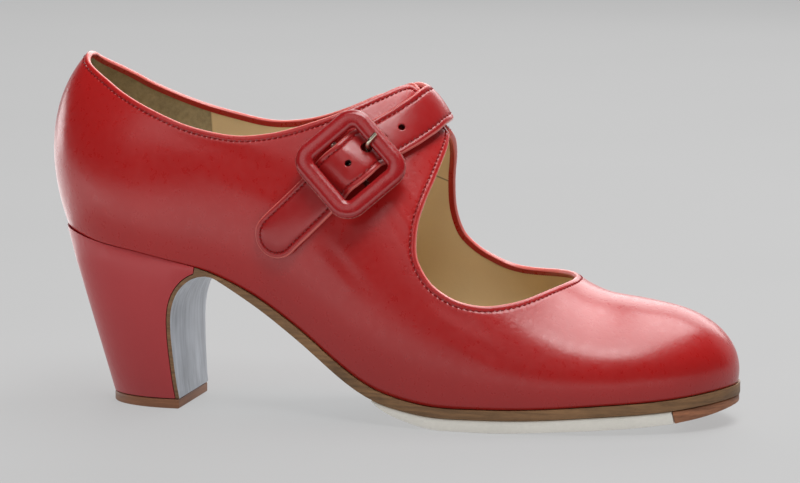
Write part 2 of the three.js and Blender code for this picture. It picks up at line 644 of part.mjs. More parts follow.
// Evenly spaced frames along the strap's middle line
function strapFrames(count) {
  const fine = smooth(STRAP.map((r) => [r.at, r.across]), 600);
  const points = fine.map(([k, a]) => across(k, a));
  const reach = [0];
  for (let i = 1; i < points.length; i += 1) reach.push(reach[i - 1] + points[i].distanceTo(points[i - 1]));
  const total = reach[reach.length - 1];
  const buckleIndex = fine.findIndex(([k, a]) => a < -0.4 && k < BUCKLE_AT);
  const buckleReach = reach[buckleIndex];
  const tip = [6.4, 5, 3.8, 2.7, 1.8, 1.1, 0.5, 0.15].map((left) => total - left);
  return range(0, total - 8, count).concat(tip).map((d) => {
    let i = 0;
    while (i < reach.length - 2 && reach[i + 1] < d) i += 1;
    const t = (d - reach[i]) / (reach[i + 1] - reach[i]);
    const k = fine[i][0] + (fine[i + 1][0] - fine[i][0]) * t;
    const a = fine[i][1] + (fine[i + 1][1] - fine[i][1]) * t;
    return { k, a, from: buckleReach - d, d, total };
  });
}

// Steps in station and share across that make one millimetre sideways from the strap's line
function sideways(frame, ahead) {
  const e = 0.004;
  const a = Math.abs(frame.a) < 0.01 ? 0.01 * (frame.a < 0 ? -1 : 1) : frame.a;
  const dk = across(frame.k + e, a).sub(across(frame.k - e, a)).multiplyScalar(1 / (2 * e));
  const da = across(frame.k, a + e).sub(across(frame.k, a - e)).multiplyScalar(1 / (2 * e));
  const n = acrossNormal(frame.k, frame.a);
  const side = n.clone().cross(ahead).normalize();
  const kk = dk.dot(dk);
  const ka = dk.dot(da);
  const aa = da.dot(da);
  const ks = dk.dot(side);
  const as = da.dot(side);
  const det = kk * aa - ka * ka;
  return { k: (ks * aa - as * ka) / det, a: (as * kk - ks * ka) / det };
}

// A ribbon that lies along the upper. The section is a flat strip with rounded edges.
function ribbon(frames, halfOf, thick, liftOf) {
  const section = [
    [-1, 0.3], [-0.93, 0], [-0.5, 0], [0, 0], [0.5, 0], [0.93, 0],
    [1, 0.3], [1, 0.7], [0.93, 1], [0.5, 1], [0, 1], [-0.5, 1], [-0.93, 1], [-1, 0.7],
  ];
  const rings = frames.map((frame, i) => {
    const p = across(frames[Math.max(0, i - 1)].k, frames[Math.max(0, i - 1)].a);
    const q = across(frames[Math.min(frames.length - 1, i + 1)].k, frames[Math.min(frames.length - 1, i + 1)].a);
    const ahead = q.sub(p).normalize();
    const step = sideways(frame, ahead);
    const half = halfOf(frame);
    return section.map(([s, h]) => {
      const k = frame.k + step.k * s * half;
      const a = frame.a + step.a * s * half;
      const lift = liftOf(frame, s) + h * thick;
      return across(k, a).addScaledVector(acrossNormal(k, a), lift);
    });
  });
  const outline = section.map(([s, h]) => new THREE.Vector2(s, h));
  return loft(rings, () => outline);
}

function strapHalf(frame) {
  const left = frame.total - frame.d;
  const full = halfAt(frame.from);
  if (left >= full) return full;
  return Math.max(0.6, full * Math.sqrt(Math.max(0, 1 - ((full - left) / full) ** 2)));
}

const FRAME_SHIFT = -0.4; // the strap rides high in the frame
const PRONG_SIDE = 0.4; // the prong keeps to the strap's holes

// The buckle's place: its middle, the way the strap runs, outward and sideways
function buckleSeat() {
  const frames = strapFrames(200);
  const i = frames.findIndex((f) => f.from < 0);
  const middle = across(frames[i].k, frames[i].a);
  const out = acrossNormal(frames[i].k, frames[i].a);
  const toward = across(frames[i - 8].k, frames[i - 8].a).sub(across(frames[i + 8].k, frames[i + 8].a));
  toward.addScaledVector(out, -toward.dot(out)).normalize();
  const side = out.clone().cross(toward);
  middle.addScaledVector(side, FRAME_SHIFT);
  return new THREE.Matrix4().makeBasis(toward, side, out).setPosition(middle);
}
const HOLES = [-0.04, 0.608, 1.16, 1.72]; // punched holes, from the buckle's middle towards the ridge, in half lengths of the frame
const PRONG_HOLE = 0.608;

// A bar of rounded section swept round a closed or open path of points that lie in one plane
function bar(path, closed, wide, thick, sides) {
  const n = path.length;
  const rings = path.map((p, i) => {
    const a = path[closed ? (i + n - 1) % n : Math.max(0, i - 1)];
    const b = path[closed ? (i + 1) % n : Math.min(n - 1, i + 1)];
    const t = b.clone().sub(a).normalize();
    const up = new THREE.Vector3(0, 0, 1);
    const flat = Math.abs(t.z) > 0.999 ? new THREE.Vector3(0, 1, 0) : up.clone().cross(t).normalize();
    const lift = t.clone().cross(flat).normalize();
    return Array.from({ length: sides }, (_, q) => {
      const angle = (2 * Math.PI * q) / sides;
      const c = Math.sign(Math.cos(angle)) * Math.abs(Math.cos(angle)) ** 0.72;
      const s = Math.sign(Math.sin(angle)) * Math.abs(Math.sin(angle)) ** 0.72;
      return p.clone().addScaledVector(flat, (c * wide) / 2).addScaledVector(lift, (s * thick) / 2);
    });
  });
  if (closed) {
    const points = rings.flat();
    const faces = [];
    for (let r = 0; r < n; r += 1) {
      for (let i = 0; i < sides; i += 1) {
        const j = (i + 1) % sides;
        const s = ((r + 1) % n) * sides;
        faces.push([r * sides + i, r * sides + j, s + j], [r * sides + i, s + j, s + i]);
      }
    }
    return fromTriangles(points, faces);
  }
  const disc = Array.from({ length: sides }, (_, q) => {
    const angle = (2 * Math.PI * q) / sides;
    return new THREE.Vector2(Math.cos(angle), Math.sin(angle));
  });
  return loft(rings, () => disc);
}

function outward(geometry) {
  const manifold = solid(geometry);
  if (manifold.volume() >= 0) return manifold;
  const g = geometry.clone();
  const index = Array.from(g.index.array);
  for (let i = 0; i < index.length; i += 3) {
    const swap = index[i + 1];
    index[i + 1] = index[i + 2];
    index[i + 2] = swap;
  }
  g.setIndex(index);
  return solid(g);
}

const seatOfBuckle = buckleSeat();
const place = (manifold) => manifold.transform(seatOfBuckle.elements);

const AXLE_LIFT = 3.3;
const AXLE = 1;

function buckleFrame() {
  const corner = 5.2;
  const path = [];
  for (let quarter = 0; quarter < 4; quarter += 1) {
    const sx = [1, -1, -1, 1][quarter];
    const sy = [1, 1, -1, -1][quarter];
    for (let i = 0; i <= 6; i += 1) {
      const angle = (quarter + i / 6) * (Math.PI / 2);
      const x = sx * (FRAME_HALF_LONG - corner) + corner * Math.cos(angle);
      const y = sy * (FRAME_HALF_WIDE - corner) + corner * Math.sin(angle);
      path.push(new THREE.Vector3(x, y, FRAME_LIFT));
    }
  }
  const ring = outward(bar(path, true, BAR_WIDE, BAR_THICK, 12));
  // The axle dips from the side bars to pass under the strap
  const axle = outward(bar([
    new THREE.Vector3(0, -FRAME_HALF_WIDE, FRAME_LIFT - 1.2),
    new THREE.Vector3(0, -FRAME_HALF_WIDE + 2.2, FRAME_LIFT - 1.4),
    new THREE.Vector3(0, -FRAME_HALF_WIDE + 4.6, AXLE_LIFT),
    new THREE.Vector3(0, FRAME_HALF_WIDE - 4.6, AXLE_LIFT),
    new THREE.Vector3(0, FRAME_HALF_WIDE - 2.2, FRAME_LIFT - 1.4),
    new THREE.Vector3(0, FRAME_HALF_WIDE, FRAME_LIFT - 1.2),
  ], false, 2 * AXLE, 2 * AXLE, 8));
  return place(ring.add(axle));
}

// Prong: a rod from a ring round the axle, up through the strap's hole and out onto the far bar, as shares of the
// frame's half length and lift, and millimetres sideways
const PRONG = [
  { ahead: 0.05, lift: 0.7578, side: 0 },
  { ahead: 0.1667, lift: 0.7187, side: 0 },
  { ahead: 0.3, lift: 0.61, side: 0 },
  { ahead: 0.48, lift: 0.44, side: 0 },
  { ahead: 0.59, lift: 0.45, side: 0 },
  { ahead: 0.65, lift: 0.65, side: 0 },
  { ahead: 0.655, lift: 0.9688, side: 0.15 },
  { ahead: 0.7, lift: 1.2969, side: 0.55 },
  { ahead: 0.8083, lift: 1.4844, side: 0.9 },
  { ahead: 0.9583, lift: 1.5078, side: 1.2 },
  { ahead: 1.075, lift: 1.5, side: 1.4 },
];
const PRONG_RADIUS = 0.7;
function buckleProng() {
  const ring = new THREE.TorusGeometry(AXLE + GAP + 0.5, 0.5, 8, 16);
  ring.rotateX(Math.PI / 2);
  ring.translate(0, PRONG_SIDE, AXLE_LIFT);
  const points = PRONG.map((r) => new THREE.Vector3(
    r.ahead * FRAME_HALF_LONG,
    PRONG_SIDE + r.side,
    r.lift * FRAME_LIFT,
  ));
  const rows = new THREE.CatmullRomCurve3(points, false, 'centripetal').getPoints(16);
  const rod = outward(bar(rows, false, 2 * PRONG_RADIUS, 2 * PRONG_RADIUS, 8));
  return place(outward(ring).add(rod));
}

function strap() {
  const frames = strapFrames(44);
  let body = outward(ribbon(frames, strapHalf, STRAP_THICK, (f, s) => liftAt(f.from) - s * tiltAt(f.from)));
  const fine = strapFrames(400);
  for (const from of HOLES) {
    const f = fine[fine.findIndex((q) => q.from < from * FRAME_HALF_LONG)];
    const n = acrossNormal(f.k, f.a);
    const p = across(f.k, f.a);
    const radius = from === PRONG_HOLE ? 1.7 : 0.9;
    const pin = new THREE.CylinderGeometry(radius, radius, 24, 14);
    pin.rotateX(Math.PI / 2);
    const turn = new THREE.Matrix4().makeBasis(
      new THREE.Vector3(0, 1, 0).cross(n).normalize(),
      n.clone().cross(new THREE.Vector3(0, 1, 0).cross(n).normalize()),
      n,
    ).setPosition(p);
    body = body.subtract(solid(pin).transform(turn.elements));
  }
  return body;
}

// Leather tab on the outer quarter: it wraps the axle either side of the prong and hides under the strap
function buckleTab() {
  const across1 = (points, half) => {
    const shape = new THREE.Shape(points.map((p) => new THREE.Vector2(p[0], p[1])));
    const g = new THREE.ExtrudeGeometry(shape, { depth: 2 * half, bevelEnabled: false, curveSegments: 1 });
    g.rotateX(Math.PI / 2);
    g.translate(0, half, 0);
    return solid(g);
  };
  const disc = (radius, half) => across1(
    range(0, 23, 23).map((q) => {
      const angle = (2 * Math.PI * q) / 24;
      return [radius * Math.cos(angle), AXLE_LIFT + radius * Math.sin(angle)];
    }),
    half,
  );
  const strip = across1([[-8.2, 0.6], [-0.4, 1.02], [-2.1, 2.4], [-3.3, 1.9], [-8.2, 1.6]], 5.4);
  const slot = across1([[-3.4, -2], [4, -2], [4, 9], [-3.4, 9]], 1.3).translate([0, PRONG_SIDE, 0]);
  return place(disc(2.3, 5.4).add(strip).subtract(disc(AXLE + GAP, 6)).subtract(slot));
}

function named(name, manifold, colour, roughness, metalness) {
  const mesh = new THREE.Mesh(
    geometryOf(manifold),
    new THREE.MeshStandardMaterial({ color: colour, roughness, metalness }),
  );
  mesh.name = name;
  return mesh;
}

const upper = upperShell().subtract(openingCutter());
const shoe = new THREE.Group();
shoe.name = 'flamenco_shoe';
shoe.add(named('upper', upper, 0x9c1f1c, 0.38, 0));
shoe.add(named('insole', insole(), 0xa8875a, 0.7, 0));
shoe.add(named('outsole', outsole(), 0x7d5c42, 0.6, 0));
shoe.add(named('forefoot_pad', underSole(alongFeather(PAD_START), alongFeather(TOE_PIECE), GAP, 0, 3 * GAP), 0xe6e0d2, 0.7, 0));
shoe.add(named('toe_piece', underSole(alongFeather(TOE_PIECE) + GAP, toeEnd, GAP + 0.1, 3 * GAP, 0), 0x7a4b35, 0.6, 0));
shoe.add(named('heel', heel(), 0x9c3a3a, 0.4, 0));
shoe.add(named('heel_tip', heelTip(), 0x6e4831, 0.7, 0));
shoe.add(named('strap', strap(), 0x9c2b2b, 0.45, 0));
shoe.add(named('buckle_tab', buckleTab(), 0x8c1a1e, 0.5, 0));
shoe.add(named('buckle_frame', buckleFrame(), 0x8c1a1e, 0.45, 0));
shoe.add(named('buckle_prong', buckleProng(), 0xd8d2c4, 0.25, 1));

export default shoe;
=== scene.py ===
"""Red strapped flamenco shoe, right foot: its leather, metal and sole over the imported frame."""

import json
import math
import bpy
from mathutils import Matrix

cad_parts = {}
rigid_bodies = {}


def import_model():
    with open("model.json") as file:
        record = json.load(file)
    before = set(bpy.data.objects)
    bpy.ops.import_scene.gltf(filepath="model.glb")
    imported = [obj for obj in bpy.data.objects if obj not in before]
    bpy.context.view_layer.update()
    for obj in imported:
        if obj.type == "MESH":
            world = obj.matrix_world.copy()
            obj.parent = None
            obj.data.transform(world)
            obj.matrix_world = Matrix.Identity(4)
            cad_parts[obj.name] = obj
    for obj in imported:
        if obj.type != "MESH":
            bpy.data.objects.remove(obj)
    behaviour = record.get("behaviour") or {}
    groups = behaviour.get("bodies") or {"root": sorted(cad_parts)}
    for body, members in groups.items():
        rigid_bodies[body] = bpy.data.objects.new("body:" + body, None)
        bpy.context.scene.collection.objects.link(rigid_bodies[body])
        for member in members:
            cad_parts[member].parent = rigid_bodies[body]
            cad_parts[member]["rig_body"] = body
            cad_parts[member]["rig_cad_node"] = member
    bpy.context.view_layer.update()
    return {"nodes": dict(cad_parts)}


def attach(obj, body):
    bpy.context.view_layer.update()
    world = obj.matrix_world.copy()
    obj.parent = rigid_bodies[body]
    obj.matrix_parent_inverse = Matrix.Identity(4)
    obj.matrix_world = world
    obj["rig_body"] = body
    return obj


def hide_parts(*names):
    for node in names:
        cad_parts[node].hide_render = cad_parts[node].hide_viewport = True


bl_info = {
    "name": "Strapped Flamenco Shoe",
    "version": (1, 0, 0),
    "blender": (4, 5, 0),
    "location": "View3D > Sidebar > Shoe",
    "description": "Builds the leather, lining, buckle, heel and sole of a flamenco shoe over its solids",
    "category": "Object",
}

import bpy
import numpy as np
from mathutils import Matrix, Vector
from mathutils.geometry import delaunay_2d_cdt

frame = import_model()
MM = 0.001

# Sizes of the last, in millimetres
BACK = -29.2
FEATHER_LENGTH = 233.2
BALL_HALF = 39.0
FORE_HEIGHT = 7.8
HEEL_RISE = 52.0
TOE_SPRING = 6.0
TOE_BOX = 29.2
INSTEP = 100.0

# Upper and lining: depths under the last and distances from the opening's edge, in millimetres
WALL = 1.1
FOLDED_WALL = 2.0
FOLD_FROM, FOLD_TO = 2.2, 2.8
FOLD_PUFF = 0.08
LINING_EDGE = 2.5
LINING_DEPTH = 1.32
LINING_WALL = 0.55
LINING_ROLL = 0.27
GRIP_END = 14.1
# Steps of the nets along the foot and across it
UPPER_NET = (220, 150)
LINING_NET = (110, 80)
# Marks at points that no edge is near, and at a hole's wall
FAR = 9.0
IN_HOLE = 20.0

# Pad of the instep bridge under the strap: height in millimetres, station and both half widths
BRIDGE_PAD = 1.6
BRIDGE_AT = 6.4
BRIDGE_LONG, BRIDGE_WIDE = 0.3, 0.17
BRIDGE_SHARE = 0.022

# Strap, in millimetres
STRAP_THICK = 2.1
STRAP_HALF = 7.9
STRAP_CORNER = 2.0
STRAP_SEAM = 2.0
STRAP_PUFF = 0.35
STRAP_STEPS = 300
FINE_STEP = 0.2
HOLE_RADIUS = 0.9
PRONG_HOLE_RADIUS = 1.7
HOLE_BREAK = 0.22

# Buckle, in millimetres, with its place as a station
BUCKLE_AT = 5.71
FRAME_LIFT = 6.4
FRAME_HALF_LONG = 12.0
FRAME_HALF_WIDE = 12.4
FRAME_SHIFT = -0.4
FRAME_CORNER = 4.4
FRAME_BAR = (6.0, 4.4)
EDGE_OUT = 2.92
EDGE_BAR = (0.5, 0.5)
AXLE_LIFT = 3.3
AXLE_RADIUS = 1.0
PRONG_SIDE = 0.4
PRONG_RADIUS = 0.72
EYE_RADIUS, EYE_BAR = 1.8, 0.5

# Holes of the strap, as shares of the buckle's half length from its middle; the prong is in the second
HOLES = (-0.04, 0.608, 1.16, 1.72)

# Stitches, in millimetres and as a share of the pitch; each points from a place before it to one after it
STITCH_SHARE = 0.66
STITCH_RADIUS = 0.26
STITCH_LOOK = 0.3

# Angles in degrees above which an edge stays sharp
SOFT, FINE, PLAIN = 80, 50, 35

# Camera: distance and aim in metres, lens and sensor in millimetres
CAMERA_FAR = 1.5
CAMERA_AIM = (0.0812, 0.0268, 0.0539)
LENS, SENSOR = 194.4, 36

# Lights round the place they turn to: name, turn and rise in degrees, distance, width, height and brightness
LIT_AT = (0.08, 0.0, 0.05)
LIGHTS = (
    ("key", -16, 32, 1.6, 0.95, 0.6, 1.3),
    ("top_front", 14, 60, 1.3, 0.5, 0.3, 5.5),
    ("back", 180, 27, 1.6, 1.4, 0.9, 2.6),
    ("rim", -112, 2, 1.4, 0.7, 0.5, 4.0),
    ("overhead", 68, 73, 1.25, 1.9, 0.6, 6.1),
    ("front_card", 0, 0, 0.3, 1.2, 0.34, 0.7),
    ("left_card", -100, 0, 0.42, 0.7, 0.36, 0.6),
    ("rear_card", -145, 0, 0.42, 0.7, 0.4, 0.8),
)

# Soft creases: station and share across of both ends, depth and half width in millimetres
CREASES = (
    (2.9, -0.49, 5.0, -0.57, 0.16, 3.2), (3.2, -0.56, 5.2, -0.62, 0.12, 2.8),
    (5.3, -0.68, 6.0, -0.75, 0.14, 2.4),
    (6.2, -0.44, 6.85, -0.53, 0.12, 1.9), (6.3, -0.52, 6.8, -0.6, 0.1, 1.8),
    (7.05, -0.69, 8.0, -0.74, 0.12, 2.4),
    (7.2, -0.75, 8.3, -0.8, 0.1, 2.2), (4.4, 0.5, 5.6, 0.56, 0.12, 2.8), (7.1, 0.68, 8.1, 0.73, 0.1, 2.4),
)
SEAT = (
    (-0.0249, 1.071, 0), (0.0206, 1.0173, 0), (0.0652, 0.9654, 0), (0.1252, 0.9154, 0),
    (0.1797, 0.8615, 0), (0.2281, 0.8077, 0), (0.2744, 0.7212, 0), (0.3109, 0.6346, 0),
    (0.3478, 0.5288, 0), (0.3846, 0.4135, 0), (0.4228, 0.2846, 0), (0.461, 0.1673, 0),
    (0.4987, 0.0827, 0), (0.536, 0.0365, 0), (0.5755, 0.0067, 0), (0.6398, 0, 0),
    (0.6998, 0, 0.05), (0.7427, 0, 0.133), (0.7856, 0, 0.25), (0.8263, 0, 0.367),
    (0.8671, 0, 0.467), (0.9057, 0, 0.583), (0.9464, 0, 0.75), (0.9828, 0, 0.933),
    (1.0043, 0, 1.02),
)

# Ridge over the foot: along the feather, share of the way from the toe box to the instep
RIDGE = (
    (0.0695, 0.586), (0.1895, 0.717), (0.3053, 0.84), (0.4039, 1.009), (0.4683, 1.058),
    (0.5197, 0.997), (0.5712, 0.843), (0.6184, 0.656), (0.6655, 0.464), (0.7127, 0.285),
    (0.7642, 0.133), (0.7985, 0.068), (0.8392, 0.033), (0.8842, 0.002),
)

# Stations from back to toe: along the feather, outer and inner half-width, ridge place, outer and inner
# flare, rise, crown and drop of the rib
STATIONS = (
    (0, 0, 0, 0.0695, 0.1744, 0.1744, 0.277, 0.6846, 0.27),
    (0.0235, 0.397, 0.397, 0.0738, 0.1949, 0.1949, 0.28, 0.6846, 0.26),
    (0.094, 0.628, 0.628, 0.1252, 0.2308, 0.2308, 0.29, 0.6923, 0.25),
    (0.188, 0.662, 0.641, 0.1938, 0.2308, 0.2308, 0.3, 0.7436, 0.22),
    (0.286, 0.621, 0.577, 0.2882, 0.2308, 0.2308, 0.31, 0.7692, 0.18),
    (0.385, 0.679, 0.59, 0.3911, 0.2308, 0.2179, 0.34, 0.7179, 0.12),
    (0.483, 0.833, 0.705, 0.4854, 0.2308, 0.2308, 0.38, 0.5385, 0.04),
    (0.577, 0.949, 0.846, 0.5712, 0.2179, 0.2051, 0.42, 0.4103, 0),
    (0.671, 0.995, 0.969, 0.6569, 0.1923, 0.1923, 0.46, 0.359, 0),
    (0.765, 0.959, 0.974, 0.7384, 0.1667, 0.1667, 0.52, 0.3846, 0),
    (0.855, 0.846, 0.872, 0.8027, 0.141, 0.141, 0.57, 0.4359, 0),
    (0.932, 0.641, 0.679, 0.8499, 0.1231, 0.1231, 0.58, 0.4487, 0),
    (0.981, 0.346, 0.372, 0.8756, 0.0923, 0.0923, 0.57, 0.4359, 0),
    (1, 0, 0, 0.8842, 0.0692, 0.0692, 0.54, 0.4103, 0),
)

# Collar edge: station, height up the rib on the outer and on the inner side
COLLAR = (
    (0, 0.869, 0.869), (0.5, 0.861, 0.859), (1.1, 0.807, 0.807), (1.6, 0.745, 0.745),
    (2.1, 0.672, 0.667), (2.7, 0.6, 0.595), (3.3, 0.545, 0.548), (3.9, 0.54, 0.54),
    (4.5, 0.576, 0.573), (5.05, 0.633, 0.631), (5.6, 0.718, 0.722), (6.05, 0.835, 0.825),
    (6.36, 0.978, 0.978),
)

# Throat edge: station and share across, on the outer and on the inner side
THROAT = (
    (7.07, -0.022, 7.07, 0.022), (7.09, -0.148, 7.07, 0.14), (7, -0.313, 7, 0.278),
    (6.86, -0.441, 6.88, 0.42), (6.78, -0.523, 6.85, 0.512), (6.78, -0.59, 6.92, 0.57),
    (6.95, -0.64, 7.12, 0.596), (7.22, -0.659, 7.4, 0.6), (7.6, -0.653, 7.75, 0.586),
    (8.02, -0.608, 8.1, 0.538), (8.47, -0.503, 8.5, 0.44), (8.85, -0.35, 8.88, 0.3),
    (9.18, -0.16, 9.2, 0.13), (9.33, 0, 9.33, 0),
)

# Middle line of the strap: station and share across
STRAP = (
    (5.5, 0.45), (6.02, 0.3), (6.44, 0.165), (6.73, 0), (6.65, -0.14), (6.48, -0.238),
    (6.21, -0.325), (5.92, -0.396), (5.74, -0.45), (5.5, -0.502), (5.23, -0.574), (4.96, -0.644),
    (4.72, -0.708), (4.42, -0.8),
)

# Strap over the upper: distance from the buckle, lift, tilt and half width, as shares
LIFT = (
    (-5, 0.0781, 0, 1), (-2.5, 0.0781, 0, 1), (-1.5833, 0.1094, 0, 1),
    (-1.1667, 0.1562, 0, 1), (-0.875, 0.2031, 0, 1), (-0.5, 0.6562, 0, 1),
    (0, 0.9375, 0, 1), (0.5, 0.6562, 0, 1), (0.875, 0.2031, 0, 0.9873),
    (1.1667, 0.1719, 0, 0.9747), (1.5, 0.1719, 0.0156, 0.962), (2.1667, 0.2969, 0.1094, 0.9241),
    (2.9167, 0.4531, 0.2031, 0.8861), (3.6667, 0.2969, 0.0937, 0.8987), (4.5, 0.0937, 0, 0.9241),
    (6.6667, 0.0781, 0, 0.9241),
)

# Prong: ahead and up as shares of the buckle's sizes, sideways in millimetres
PRONG = (
    (0.05, 0.7578, 0), (0.1667, 0.7187, 0), (0.3, 0.61, 0), (0.48, 0.44, 0),
    (0.59, 0.45, 0), (0.65, 0.65, 0), (0.655, 0.9688, 0.15), (0.7, 1.2969, 0.55),
    (0.8083, 1.4844, 0.9), (0.9583, 1.5078, 1.2), (1.075, 1.5, 1.4),
)


# Curves


def natural(rows, column):
    """A natural cubic through a table's first column and another one, straight beyond both ends."""
    xs = np.array([r[0] for r in rows], float)
    ys = np.array([r[column] for r in rows], float)
    n, h = len(xs), np.diff(xs)
    a, rhs = np.eye(n), np.zeros(n)
    for i in range(1, n - 1):
        a[i, i - 1 : i + 2] = h[i - 1], 2 * (h[i - 1] + h[i]), h[i]
        rhs[i] = 6 * ((ys[i + 1] - ys[i]) / h[i] - (ys[i] - ys[i - 1]) / h[i - 1])
    m = np.linalg.solve(a, rhs)
    low = (ys[1] - ys[0]) / h[0] - h[0] * (2 * m[0] + m[1]) / 6
    high = (ys[-1] - ys[-2]) / h[-1] + h[-1] * (m[-2] + 2 * m[-1]) / 6

    def curve(x):
        x = np.asarray(x, float)
        inside = np.clip(x, xs[0], xs[-1])
        i = np.clip(np.searchsorted(xs, inside, side="right") - 1, 0, n - 2)
        p, q = (xs[i + 1] - inside) / h[i], (inside - xs[i]) / h[i]
        y = p * ys[i] + q * ys[i + 1] + ((p**3 - p) * m[i] + (q**3 - q) * m[i + 1]) * h[i] ** 2 / 6
        return y + np.where(x < xs[0], (x - xs[0]) * low, 0) + np.where(x > xs[-1], (x - xs[-1]) * high, 0)

    return curve


def through(points, count):
    """A smooth curve through a list of points, with the pull of each stretch set by its length."""
    p = np.array(points, float)
    last_one, out = len(p) - 1, []
    for step in range(count + 1):
        at = last_one * step / count
        i = min(int(at), last_one - 1)
        w = at - i
        p0 = p[i - 1] if i > 0 else 2 * p[0] - p[1]
        p3 = p[i + 2] if i + 2 <= last_one else 2 * p[-1] - p[-2]
        p1, p2 = p[i], p[i + 1]
        d0, d1, d2 = (float(((b - a) ** 2).sum()) ** 0.25 for a, b in ((p0, p1), (p1, p2), (p2, p3)))
        d1 = d1 if d1 > 1e-4 else 1.0
        d0, d2 = (d0 if d0 > 1e-4 else d1), (d2 if d2 > 1e-4 else d1)
        t1 = ((p1 - p0) / d0 - (p2 - p0) / (d0 + d1) + (p2 - p1) / d1) * d1
        t2 = ((p2 - p1) / d1 - (p3 - p1) / (d1 + d2) + (p3 - p2) / d2) * d1
        out.append(p1 + t1 * w + (-3 * p1 + 3 * p2 - 2 * t1 - t2) * w**2 + (2 * p1 - 2 * p2 + t1 + t2) * w**3)
    return np.array(out)


def reach_along(path):
    """How far along a path each of its points lies."""
    return np.concatenate([[0], np.cumsum(np.linalg.norm(np.diff(path, axis=0), axis=1))])


def sampled(at, reach, path):
    """Flat points of a path at distances along it."""
    return np.stack([np.interp(at, reach, path[:, i]) for i in (0, 1)], -1)


def bell(distance, width):
    """1 at no distance, falling softly to nothing within a few widths."""
    return np.exp(-((distance / width) ** 2))


def unit(v):
    """Vectors made one long."""
    return v / np.maximum(np.linalg.norm(v, axis=-1, keepdims=True), 1e-12)


def gaps(points, others):
    """Squared distances of points from others, in blocks that keep each table small."""
    for block in np.array_split(points, max(1, len(points) // 1500)):
        yield ((block[:, None] - others[None]) ** 2).sum(-1)


def inside_loop(points, loop):
    """Whether flat points lie inside a closed loop."""
    x, y = points[:, 0], points[:, 1]
    inside = np.zeros(len(points), bool)
    for (x0, y0), (x1, y1) in zip(loop, np.roll(loop, -1, 0)):
        if y0 != y1:
            inside ^= ((y0 > y) != (y1 > y)) & (x < (x1 - x0) * (y - y0) / (y1 - y0) + x0)
    return inside


# The last


seat_rise, seat_spring, ridge_share = natural(SEAT, 1), natural(SEAT, 2), natural(RIDGE, 1)
lift_share, tilt_share, half_share = natural(LIFT, 1), natural(LIFT, 2), natural(LIFT, 3)
TOE = len(STATIONS) - 1
ROUND = 2 * TOE


def share_of(x):
    """A place along the shoe as a share of the feather."""
    return (np.asarray(x, float) - BACK) / FEATHER_LENGTH


def seat(x):
    """Height of the seat under the foot."""
    return FORE_HEIGHT + HEEL_RISE * seat_rise(share_of(x)) + TOE_SPRING * seat_spring(share_of(x))


def ridge(x):
    """Height of the ridge over the foot."""
    return seat(x) + TOE_BOX + (INSTEP - TOE_BOX) * ridge_share(share_of(x))


def around(outer, inner):
    """Weights of a closed smooth curve down the outer side of the foot and back up the inner side."""
    values = np.array(list(outer) + list(inner)[TOE - 1 : 0 : -1], float)
    c = values.copy()
    for _ in range(60):
        c = (6 * values - np.roll(c, 1) - np.roll(c, -1)) / 4
    return c


def ribs():
    """The shape of each rib round the foot, in millimetres, with rise and drop as shares."""
    along, outer, inner, top, outer_flare, inner_flare, rise, crown, drop = np.array(STATIONS, float).T
    pairs = {
        "x": (BACK + along * FEATHER_LENGTH,) * 2,
        "y": (-outer * BALL_HALF, inner * BALL_HALF),
        "ridge": (BACK + top * FEATHER_LENGTH,) * 2,
        "flare": (outer_flare * BALL_HALF, inner_flare * BALL_HALF),
        "rise": (rise, rise),
        "crown": (crown * BALL_HALF,) * 2,
        "drop": (drop, drop),
    }
    return {name: around(*pair) for name, pair in pairs.items()}


RIBS = ribs()


def rib(name, u):
    """One measure of the rib at a place round the foot."""
    c = RIBS[name]
    i = np.floor(u).astype(int)
    t = u - i
    w = ((1 - t) ** 3 / 6, (3 * t**3 - 6 * t**2 + 4) / 6, (-3 * t**3 + 3 * t**2 + 3 * t + 1) / 6, t**3 / 6)
    return sum(w[k] * c[(i - 1 + k) % len(c)] for k in range(4))


def last(u, v):
    """The last in millimetres: u runs round the foot, v up a rib from the feather to the ridge."""
    u, v = np.broadcast_arrays(np.asarray(u, float), np.asarray(v, float))
    fx, fy, rx = rib("x", u), rib("y", u), rib("ridge", u)
    fz, rz = seat(fx), ridge(rx)
    away = np.maximum(np.hypot(fx - rx, fy), 1e-9)
    dx, dy = (fx - rx) / away, fy / away
    height, drop, crown = rz - fz, np.maximum(rib("drop", u), 0), rib("crown", u)
    slope = ridge(rx + 0.5) - ridge(rx - 0.5)
    flare = rib("flare", u)
    foot = np.stack([fx, fy, fz], -1)
    first = np.stack([fx + dx * flare, fy + dy * flare, fz + rib("rise", u) * height], -1)
    reach = rz + slope * dx * crown * (1 - np.minimum(1, drop * 10)) - drop * height
    second = np.stack([rx + dx * crown, dy * crown, reach], -1)
    top = np.stack([rx, 0 * rx, rz], -1)
    v = v[..., None]
    w = 1 - v
    return w**3 * foot + 3 * w * w * v * first + 3 * w * v * v * second + v**3 * top


def last_normal(u, v):
    """The way out of the last, off its very foot and ridge."""
    e = 0.002
    v = np.clip(v, 0.002, 0.97)
    return unit(np.cross(last(u + e, v) - last(u - e, v), last(u, v + e) - last(u, v - e)))


def across(k, a):
    """The same surface by station and share across: -1 outer feather, 0 ridge, 1 inner feather."""
    k, a = np.broadcast_arrays(np.asarray(k, float), np.asarray(a, float))
    return last(np.where(a < 0, k, ROUND - k), 1 - np.abs(a))


def across_normal(k, a):
    """The way out by station and share across, turning smoothly over the ridge."""
    k, a = np.broadcast_arrays(np.asarray(k, float), np.asarray(a, float))
    edge = 0.03
    plain = last_normal(np.where(a < 0, k, ROUND - k), 1 - np.abs(a))
    t = np.clip((a + edge) / (2 * edge), 0, 1)[..., None]
    ridge_top = unit(last_normal(k, 1 - edge) * (1 - t) + last_normal(ROUND - k, 1 - edge) * t)
    return np.where((np.abs(a) < edge)[..., None], ridge_top, plain)


